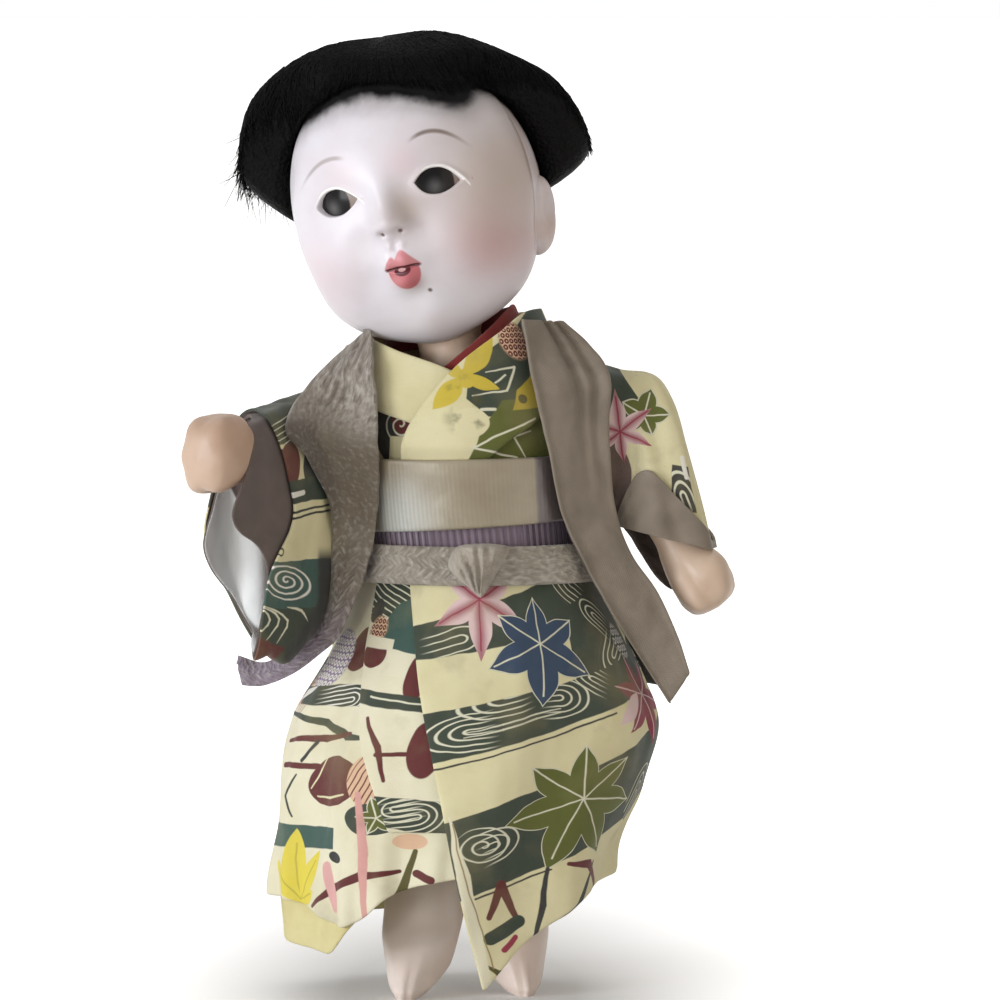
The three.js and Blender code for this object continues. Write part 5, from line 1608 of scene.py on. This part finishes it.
def collar(rows, offset, columns, lines, flip, seed, wrinkle=0.15, tuck=0.0):
    """A band between two edges, given by their angles and heights. Tuck draws its foot in under the sash."""
    edges = curve_through([(*radians(row[0]), row[1], *radians(row[2]), row[3]) for row in rows])
    flat = form_flat(BODICE_RADIUS)

    def spot(u, v):
        row = edges(u)
        return mix(row[0], row[2], v), mix(row[1], row[3], v)

    def surface(u, v):
        angle, z = spot(u, v)
        roll = 0.5 * math.sin(math.pi * v) - tuck * (1 - smooth(z, 116.5, 120.5))
        point = on_form(angle, z, offset + roll)
        return on_form(angle, z, offset + roll + wrinkle * crease(point, 6, seed))

    return sheet_mesh(surface, columns, lines, lambda u, v: flat(*spot(u, v)), flip=flip)


# Each row: angle and height of the upper edge, then of the lower edge
RIGHT_COLLAR = (
    (-269.4, 146, -269.4, 141), (-210, 145, -210, 139), (-170, 143, -174, 134), (-135, 141, -144, 129),
    (-90, 136, -112, 124.5), (-74, 127, -101, 120.5), (-80, 116.2, -98, 116.2),
)
LEFT_COLLAR = (
    (89.4, 146, 89.4, 141), (30, 148, 30, 141), (0, 149, 0, 139), (-35, 148.6, -26, 136),
    (-62, 144.4, -42, 130), (-90, 137.4, -56, 125), (-112, 125.5, -70, 121), (-124, 116.2, -80, 116.2),
)
UNDER_COLLAR = (
    (-106, 134.6, -104, 129), (-86, 140, -86, 133), (-60, 145, -60, 135), (-30, 149, -30, 138),
    (0, 149.8, 0, 140), (90, 146.5, 90, 140), (180, 141.6, 180, 137.5), (215, 139, 215, 135.5),
)
cream_collar_silk = plain_cloth("cream_collar_silk", CREAM, CREAM_SHADE, 12)
COLLAR_CLOTH = 1.1
top_sheet(
    "kimono_under_collar_band", collar(RIGHT_COLLAR, 3.4, 70, 14, True, 9, tuck=1), "kimono_right_collar",
    cream_collar_silk, cream_lining, "printed_silk", COLLAR_CLOTH,
)
top_sheet(
    "kimono_over_collar_band", collar(LEFT_COLLAR, 5.05, 76, 14, False, 10, tuck=2), "kimono_left_collar",
    over_collar_silk, cream_lining, "printed_silk", COLLAR_CLOTH,
)
top_sheet(
    "red_under_collar", collar(UNDER_COLLAR, -0.5, 70, 8, True, 11, 0), "under_collar",
    red_silk, red_silk, "red_silk",
)


# Sash, pleated band, belt and knot
def loop_band(low_at, high_at, offset_at, columns, rows, radius):
    """A band all round the form, between heights that may differ by angle."""
    def spot(u, v):
        angle = TAU * u - math.pi
        return angle, mix(low_at(angle), high_at(angle), v)

    def surface(u, v):
        angle, z = spot(u, v)
        return on_form(angle, z, offset_at(angle, z, v))

    return sheet_mesh(surface, columns, rows, lambda u, v: form_flat(radius)(*spot(u, v)), closed=True)


def slant(angle):
    """The sash climbs towards the doll's left in front."""
    return 1.6 * math.cos(angle) * smooth(-math.sin(angle), 0, 0.6)


SASH_OUT = 4.3
sewn(
    "ribbed_sash",
    loop_band(lambda a: 102.4 + slant(a), lambda a: 117.4 + 0.3 * slant(a),
              lambda a, z, v: SASH_OUT + 0.25 * crease((30 * a, 0, z), 8, 12), 220, 16, BODICE_RADIUS),
    ["sash"], "torso", "silver_silk", (sash_silk, muslin),
    thickness=1,
)


def pleat_lift(angle, z, v):
    """Upright pleats, drawn in under the sash."""
    return SASH_OUT - 2 + 0.28 * math.sin(angle * BODICE_RADIUS * TAU / PLEAT_PITCH)


sewn(
    "pleated_band_cloth",
    loop_band(level(96.8), lambda a: 104.6 + slant(a), pleat_lift, 620, 6, BODICE_RADIUS),
    ["pleated_band"], "torso", "plum_silk", (plum_pleats, muslin),
    0.8, 0,
)


def knit(along, across):
    """Height of crepe that looks knitted: leaning flecks in columns."""
    column = math.floor(across / KNIT_COLUMN)
    lean = 1 if column % 2 else -1
    fleck_along = (along + KNIT_LEAN * lean * across) / KNIT_FLECK
    fleck_across = (across - KNIT_TILT * lean * along) / KNIT_LENGTH + KNIT_SHIFT * column
    return crease((fleck_along, fleck_across, 0), 1, 21)


BELT_RADIUS = 26


def belt_relief(angle, z, v):
    """A rolled crepe band, knitted on the doll's right of the knot and drawn smooth on its left."""
    crown = 0.9 * (1 - (2 * v - 1) ** 4)
    across = BELT_RADIUS * (angle + math.pi / 2)
    knitted = 1 - smooth(across, -5, 5)
    flecks = 0.4 * knit(across, z) * math.sin(math.pi * v)
    drawn = 0.35 * crease((across * 0.5, 0, z * 2.2), 3, 13)
    return 5.0 + crown + mix(drawn, flecks, knitted)


sewn(
    "crepe_belt_band",
    loop_band(level(BELT_LOW + 0.9), level(BELT_TOP + 1.8), belt_relief, 420, 20, BELT_RADIUS),
    ["crepe_belt"], "torso", "grey_crepe", (belt_crepe, belt_crepe),
    1.6, 0,
)


# The knot: how far it reaches to either side at shares of its height, and the point its folds run to
KNOT_LOW, KNOT_TALL, KNOT_POINT = 88.0, 11.4, 3.4
knot_right_side = through([(0, 3), (0.2, 0.6), (0.45, -2.6), (0.62, -3.6), (0.85, -2.6), (1, -1)])
knot_left_side = through([(0, 3.8), (0.2, 5.2), (0.5, 7.2), (0.8, 9.2), (0.93, 9.6), (1, 8.6)])


def knot_shape(angle, share):
    """A knot like a fan: broad at its top, drawn to a point below, ribbed at the doll's right."""
    tall = 0.5 + 0.5 * math.cos(math.pi * share)
    close = min(1, math.sin(math.pi * share) / 0.4) ** 0.5
    left, right = knot_left_side(tall), knot_right_side(tall)
    x = mix(right, left, 0.5 + 0.5 * close * math.cos(angle))
    z = KNOT_LOW + KNOT_TALL * tall
    front = max(0.0, -math.sin(angle))
    fan = math.atan2(x - KNOT_POINT, z - KNOT_LOW + 2)
    ribbed = (1 - smooth(fan, -0.1, 0.3)) * smooth(tall, 0, 0.25) * front
    ribs = 0.55 * ribbed * math.sin(fan * 30 + 1.5 * crease((4 * fan, 3 * tall, 0), 1, 14))
    dent = -0.9 * front * bell((fan - 0.55) * 9, 0, 1) * smooth(tall, 0.1, 0.4)
    lump = 0.5 * crease((x, z, 0), 2.6, 14) * front
    depth = mix(1.6, 4.6, smooth(tall, 0, 0.5)) * close
    middle = on_form(front_angle(KNOT_POINT, z, 6), BELT_TOP - 3, 6)
    return Vector((x, middle.y + (depth + ribs + dent + lump) * math.sin(angle), z))


knot = piece("belt_knot_crepe", moulded(knot_shape, 84, 56), "torso", "grey_crepe", ["belt_knot"], knot_crepe)


# Jacket: how far it stands off the form, and how far forward its sides come, in degrees, by height
JACKET_HEM = 66
jacket_lift = through([
    (66, 4.05), (80, 6.2), (89.5, 6.8), (96.9, 6.6), (106, 4.75), (118.2, 4.75), (127, 5.9), (140, 6.4),
    (147, 6.0),
])
jacket_reach = through([(66, 4), (106, 4), (114, 8), (123, 14), (131, 14), (135, 4), (137, -20), (141, -24)])


def jacket_angle(u, z):
    reach = math.radians(jacket_reach(z))
    behind = math.radians(30) * (1 - smooth(z, 70, 94))
    return mix(reach, math.pi - reach - behind, u)


sewn(
    "jacket_back_cloth",
    panel(jacket_angle, level(JACKET_HEM), level(141), lambda u, z: jacket_lift(z), 70, 64, SKIRT_RADIUS, 15),
    ["jacket_body"], "torso", "printed_silk", (wide_silk, taupe_lining),
)

LAPEL_CLOTH, LAPEL_LIFT = 1.2, 1.3


def lapel_mesh(rows, columns, lines, flip, relief):
    """A ribbon between its neck-side and outer edges: x, z, x, z, lift, and the depth of either edge."""
    def edge(first, depth):
        points = []
        for row in rows:
            x, z = row[first], row[first + 1]
            lift = jacket_lift(z) + row[4] + LAPEL_LIFT
            y = on_form(front_angle(x, z, lift), z, lift).y
            points.append((x, row[depth] - LAPEL_LIFT if len(row) > depth else y, z))
        return curve_through(points)

    inner, outer = edge(0, 6), edge(2, 5)
    length = sum((inner((i + 1) / 40) - inner(i / 40)).length for i in range(40))

    def surface(u, v):
        a, b = inner(u), outer(u)
        ahead = inner(min(u + 0.01, 1)) - inner(max(u - 0.01, 0))
        out = ahead.cross(b - a).normalized()
        if out.y > 0:
            out.negate()
        return a.lerp(b, v) + out * relief(u, v, (b - a).length, length)

    def flat(u, v):
        return ((v - 0.5) * (outer(u) - inner(u)).length, -u * length)

    return sheet_mesh(surface, columns, lines, flat, flip=flip)


RIGHT_LAPEL = (
    (-20.4, 144.6, -21.8, 143.8, 0.4, -5.5, -8), (-19.9, 136.5, -29, 138, 0.5, -8.5),
    (-19.3, 130, -34, 132.8, 0.5, -16), (-18.9, 124.5, -36.8, 128.4, 0.5, -24),
    (-18.6, 119.5, -37.2, 124.2, 0.5, -28), (-18.5, 114.5, -33.4, 119.4, 0.6, -25.5),
    (-18.7, 109.5, -31, 113.6, 0.7, -20.5), (-19, 104.5, -29, 107, 0.8, -17),
    (-19.6, 99.5, -28.6, 101, 0.9, -14.5), (-21.2, 94, -29.2, 93.6, 0.9, -13),
    (-23.5, 87.5, -30, 86, 0.8, -12.5), (-27, 79, -33, 81.2, 0.8, -12, -14),
    (-31.5, 74.6, -37.5, 77, 0.8, -10.5, -12), (-37, 70.4, -41.2, 73.6, 0.8, -9, -10),
    (-43.4, 67.6, -44.6, 72.6, 0.8, -7, -8), (-48.4, 67.4, -49.2, 74, 0.8, -6, -6),
)
LEFT_LAPEL = (
    (12, 147.2, 21, 146.6, 0.4, -7), (13.4, 138, 27.4, 141, 0.6, -9), (15.2, 129.5, 31.4, 134.6, 0.6, -12),
    (17.4, 120, 31.2, 124, 0.6, -13), (20.2, 106, 32.4, 107.5, 0.5, -12), (25, 95.5, 35.8, 97, 0.5, -12),
    (31, 84.5, 41.6, 88.5, 0.8, -13), (37.5, 74, 46, 79, 0.8, -14), (44, 64, 48.6, 71, 0.8, -14, -14),
)


def knitted_lapel(u, v, width, length):
    """Coarse crepe, sagging where it drapes over the sleeve, and knitted below the chest."""
    along, across = u * length, (v - 0.5) * width
    middle = math.sin(math.pi * v)
    flap = smooth(u, 0.04, 0.2) * (1 - smooth(u, 0.36, 0.52))
    flecks = 0.35 * knit(along, across) * smooth(u, 0.34, 0.46) * middle
    ridges = 1.1 * crease((across / 0.5, along / 2, 0), 3, 21) * (1 - smooth(u, 0.18, 0.3))
    crinkle = (ridges + 0.3 * crease((across, along, 0), 2, 23)) * (1 - smooth(u, 0.34, 0.46)) * middle
    return flecks + crinkle + 0.9 * middle - 4.2 * flap * middle + 0.6 * crease((across, along, 0), 5, 16)


def smooth_lapel(u, v, width, length):
    """Plain silk with a rolled neck-side edge, doubled along its outer edge over the shoulder."""
    along, across = u * length, (v - 0.5) * width
    shoulder = 1 - smooth(u, 0.22, 0.5)
    edge = 0.8 * bell(v - 0.03, 0, 0.03) + 0.35 * bell(v - 0.95, 0, 0.03)
    doubled = -1.9 * shoulder * (bell(v - 0.58, 0, 0.045) + 0.8 * bell(v - 0.8, 0, 0.04))
    drape = 0.5 * math.sin(math.pi * v) + 0.6 * crease((across, along * 0.4, 0), 7, 17)
    return edge + doubled + drape + 0.25 * crease((across, along * 0.6, 0), 2.5, 22)


LAPEL_JOIN = ("torso", "right_arm", (-27, -15, 128.1), (-34.9, -15, 131.2))
sewn(
    "crepe_lapel", lapel_mesh(RIGHT_LAPEL, 220, 44, True, knitted_lapel), ["jacket_right_lapel"],
    LAPEL_JOIN, "grey_crepe", (lapel_crepe, violet_crepe),
    LAPEL_CLOTH, 0,
)
sewn(
    "smooth_lapel", lapel_mesh(LEFT_LAPEL, 120, 24, False, smooth_lapel), ["jacket_left_lapel"],
    "torso", "grey_silk", (taupe_silk, taupe_lining),
    LAPEL_CLOTH,
)


# Sleeves: rings from the shoulder to the cuff, each a flat bag with rounded corners
def sleeve_mesh(ring_at, first_at, last_at, outset, columns, rows, flat_at, relief, slump=0.0, flare=0.0):
    """A sleeve between two shares of its rings, which may differ round the arm.

    Slump lowers the near wall of its mouth, and flare turns the far wall to the front.
    """
    def surface(u, v):
        c, s = math.cos(TAU * u), math.sin(TAU * u)
        share = mix(first_at(c, s), last_at(c, s), v)
        low, high, across, half = ring_at(share)
        square = (c**4 + s**4) ** -0.25
        middle = low.lerp(high, 0.5)
        up = high - middle
        reach = up.length
        up.normalize()
        extra = outset + relief(u, share)
        drop = slump * smooth(share, 0.4, 1) * smooth(-s, -0.2, 0.9) * clamp(c * square, -1, 1)
        back = flare * smooth(share, 0.5, 1) * smooth(-c, -0.4, 0.6)
        shift = Vector((0, back, -drop))
        return middle + up * (reach + extra) * s * square + across * (half + extra) * c * square + shift

    return sheet_mesh(surface, columns, rows, lambda u, v: flat_at(surface(u, v)), closed=True)


ACROSS_RIGHT = Vector((-AIM_RIGHT.y, AIM_RIGHT.x, 0)).normalized()
ARM_SLANT = -0.607  # how far the print's place along the right arm goes sideways
LINING_GAP = 1.15
# The right sleeve by share of its length: room over the arm, its foot below the arm, and its half width
headroom = through([(-0.28, 8), (0.12, 6.5)])
bag_low = through([(-0.3, -15), (-0.05, -22), (0.1, -39), (0.3, -45), (0.52, -47), (0.75, -47), (1, -42)])
bag_half = through([(-0.3, 8.5), (0, 6.8), (0.5, 7.6), (1, 8.6)])


def right_ring(share):
    middle = SHOULDER_RIGHT + AIM_RIGHT * mix(8.1, 33, share)
    low = middle + Vector((0, 0, bag_low(share)))
    high = middle + Vector((0, 0, headroom(share)))
    return low, high, ACROSS_RIGHT, bag_half(share)


# The left sleeve's two edges, from the shoulder to the cuff
left_inner = curve_through([
    (30, 0, 108), (31.6, -1, 107), (32, -1.5, 105), (32.6, -2, 103.5), (33.2, -2.5, 102),
])
left_outer = curve_through([
    (22, 0, 139), (33, 0, 135.5), (43, -1, 132.4), (47.8, -2, 119), (53.4, -3.2, 97.2),
])
LINING_FALL = Vector((8, -1, -16))  # where the lining hangs on below the left cuff
left_half = through([(0, 12.4), (0.25, 8.2), (0.6, 8.2), (1, 8.4)])


def left_ring(share):
    fall = LINING_FALL * max(0.0, share - 1)
    return left_inner(share) + fall, left_outer(share) + fall, Vector((0, 1, 0)), left_half(share)


def sleeve_crease(seed, depth, folds=0.0):
    """Soft creases, with folds that run along the arm."""
    def relief(u, share):
        c, s = math.cos(TAU * u), math.sin(TAU * u)
        long_folds = folds * math.sin(7 * s + 3 * share + 2 * crease((3 * s, 3 * c, 2 * share), 2, seed))
        return depth * crease((9 * c, 9 * s, 26 * share), 4, seed) + long_folds * smooth(share, 0.15, 0.5)

    return relief


def along_arm(point):
    return ((point.x - SHOULDER_RIGHT.x) / ARM_SLANT, point.z)


def as_seen(point):
    return (point.x, point.z)


# Ends of the sleeve cloth by the way up the mouth, -1 at its foot and 1 at its top
cuff_top = through([
    (-1, 0.93), (-0.7, 0.62), (-0.35, 0.57), (0, 0.66), (0.4, 0.85), (0.75, 0.95), (1, 0.985),
])
near_edge = through([
    (-1, 1.2), (-0.67, 1.25), (-0.27, 1.15), (0, 0.88), (0.17, 0.78), (0.4, 0.85), (0.75, 0.98), (1, 0.98),
])
far_edge = through([(-1, 0.75), (-0.77, 0.9), (-0.4, 1.2), (0, 1.25), (0.28, 1.15), (1, 0.8)])
lining_edge = through([
    (-1, 1.17), (-0.67, 1.22), (-0.27, 1.12), (-0.05, 1.25), (0.1, 1.5), (0.3, 1.6), (0.6, 1.36), (0.9, 1.42),
    (1, 1.2),
])


def mouth(near, beyond=0.0):
    """The end of the right sleeve: its far edge, drawn out beyond it low down, and the near edge given."""
    def end(c, s):
        far = far_edge(s) + beyond * (1 - smooth(s, -0.2, 0.15))
        return mix(far, near(s), smooth(c, -0.7, 0.7))

    return end


def left_lining_end(c, s):
    """The end of the left lining, which hangs out of the back of the cuff."""
    return 1 + 0.85 * smooth(c, 0, 0.8) * bell(s + 0.5, 0, 0.35)


def sleeve(name, body, node, mesh, outside, inside, slot):
    sewn(name, mesh, [node], body, slot, (outside, inside))


# Where a cloth passes from riding on the torso to riding on the arm
RIGHT_JOIN = ("torso", "right_arm", (-25, -3, 127), (-32, -9, 125))
LEFT_JOIN = ("torso", "left_arm", (26, 0, 127), (33, 0, 127))
SLUMP, FLARE = 6, 8.5
sleeve(
    "right_sleeve_cloth", RIGHT_JOIN, "right_sleeve",
    sleeve_mesh(right_ring, level(-0.28), mouth(near_edge), 0, 96, 64, along_arm, sleeve_crease(18, 0.5),
                SLUMP, FLARE),
    right_sleeve_silk, taupe_lining, "printed_silk",
)
sleeve(
    "right_sleeve_inner", "right_arm", "right_sleeve_lining",
    sleeve_mesh(right_ring, level(0), mouth(lining_edge, 0.07), -LINING_GAP, 96, 48, along_arm,
                sleeve_crease(18, 0.4), SLUMP, FLARE),
    taupe_lining, sleeve_lining, "grey_silk",
)
left_creases = sleeve_crease(19, 0.6, 0.5)
sleeve(
    "left_sleeve_cloth", LEFT_JOIN, "left_sleeve",
    sleeve_mesh(left_ring, level(0), level(1), 0, 96, 64, as_seen, left_creases),
    left_sleeve_silk, taupe_lining, "printed_silk",
)
sleeve(
    "left_sleeve_inner", "left_arm", "left_sleeve_lining",
    sleeve_mesh(left_ring, level(0.25), left_lining_end, -LINING_GAP, 96, 48, as_seen,
                sleeve_crease(19, 0.4, 0.3)),
    taupe_lining, taupe_lining, "grey_silk",
)
sleeve(
    "left_turned_cuff", "left_arm", "left_cuff_fold",
    sleeve_mesh(left_ring, lambda c, s: cuff_top(s), level(1), 1.1, 96, 24, as_seen, left_creases),
    taupe_silk, taupe_lining, "grey_silk",
)


# Studio: camera, light and floor
CAMERA_AIM = place((7.53, -15, 108.2))
CAMERA_DISTANCE = 1.6
CAMERA_LIFT = math.radians(4)
SENSOR, VIEW_WIDTH = 36, 0.2151
LIGHT_AIM = Vector((0, 0, 0.12))
camera = bpy.data.objects.new("camera", bpy.data.cameras.new("camera"))
camera.data.sensor_width = SENSOR
camera.data.lens = SENSOR * CAMERA_DISTANCE / VIEW_WIDTH
view = Vector((0, -math.cos(CAMERA_LIFT), math.sin(CAMERA_LIFT)))
camera.location = CAMERA_AIM + view * CAMERA_DISTANCE
camera.rotation_euler = (-view).to_track_quat("-Z", "Y").to_euler()
camera.data.clip_end = 200
scene.collection.objects.link(camera)
scene.camera = camera


def lamp(name, at, energy, size, colour):
    light = bpy.data.lights.new(name, "AREA")
    light.energy = energy
    light.size = size
    light.color = colour
    obj = bpy.data.objects.new(name, light)
    obj.location = at
    obj.rotation_euler = (LIGHT_AIM - Vector(at)).to_track_quat("-Z", "Y").to_euler()
    scene.collection.objects.link(obj)


lamp("window", (-1.35, -0.8, 0.3), 15.5, 0.7, (0.93, 0.96, 1.0))
lamp("fill", (1.0, -0.8, 0.4), 2.4, 0.8, (1.0, 0.88, 0.74))
lamp("low", (-0.6, -1.1, 0.06), 4.2, 0.4, (1.0, 0.98, 0.95))
lamp("top", (0.1, 0.3, 1.3), 3, 0.9, (1.0, 1.0, 1.0))


def shown_white(tree):
    """1 for what the camera, a reflection or a glass sees directly, 0 for light on the doll."""
    path = tree.nodes.new("ShaderNodeLightPath")
    either = path.outputs["Is Camera Ray"]
    for name in ("Is Glossy Ray", "Is Transmission Ray"):
        node = tree.nodes.new("ShaderNodeMath")
        node.operation = "MAXIMUM"
        tree.links.new(either, node.inputs[0])
        tree.links.new(path.outputs[name], node.inputs[1])
        either = node.outputs[0]
    return either


world = bpy.data.worlds.new("studio")
scene.world = world
world.use_nodes = True
room = world.node_tree.nodes["Background"]
room.inputs["Strength"].default_value = 1
shown = world.node_tree.nodes.new("ShaderNodeMix")
shown.data_type = "RGBA"
shown.inputs[6].default_value = (0.28, 0.263, 0.243, 1)
shown.inputs[7].default_value = (1, 1, 1, 1)
world.node_tree.links.new(shown_white(world.node_tree), shown.inputs[0])
world.node_tree.links.new(shown.outputs[2], room.inputs["Color"])

floor_bm = bmesh.new()
bmesh.ops.create_grid(floor_bm, x_segments=1, y_segments=1, size=40)
floor_mesh = bpy.data.meshes.new("floor")
floor_bm.to_mesh(floor_mesh)
floor_bm.free()
floor = bpy.data.objects.new("floor", floor_mesh)
scene.collection.objects.link(floor)
paper = bpy.data.materials.new("white_paper")
paper.use_nodes = True
paper_tree = paper.node_tree
paper_shader = paper_tree.nodes["Principled BSDF"]
paper_shader.inputs["Base Color"].default_value = (0.85, 0.85, 0.85, 1)
paper_shader.inputs["Roughness"].default_value = 0.9
paper_shader.inputs["Emission Color"].default_value = (1, 1, 1, 1)
paper_place = paper_tree.nodes.new("ShaderNodeTexCoord")
from_doll = paper_tree.nodes.new("ShaderNodeVectorMath")
from_doll.operation = "LENGTH"
paper_stretch = paper_tree.nodes.new("ShaderNodeVectorMath")
paper_stretch.operation = "MULTIPLY"
paper_stretch.inputs[1].default_value = (1, 0.32, 1)
paper_tree.links.new(paper_place.outputs["Object"], paper_stretch.inputs[0])
paper_tree.links.new(paper_stretch.outputs["Vector"], from_doll.inputs[0])
fade = paper_tree.nodes.new("ShaderNodeMapRange")
for name, value in (("From Min", 0.025), ("From Max", 0.095), ("To Min", 0.1), ("To Max", 1.0)):
    fade.inputs[name].default_value = value
paper_tree.links.new(from_doll.outputs["Value"], fade.inputs["Value"])
paper_glow = paper_tree.nodes.new("ShaderNodeMath")
paper_glow.operation = "MULTIPLY"
paper_tree.links.new(shown_white(paper_tree), paper_glow.inputs[0])
paper_tree.links.new(fade.outputs[0], paper_glow.inputs[1])
paper_tree.links.new(paper_glow.outputs[0], paper_shader.inputs["Emission Strength"])
floor_mesh.materials.append(paper)

scene.view_settings.view_transform = "Standard"
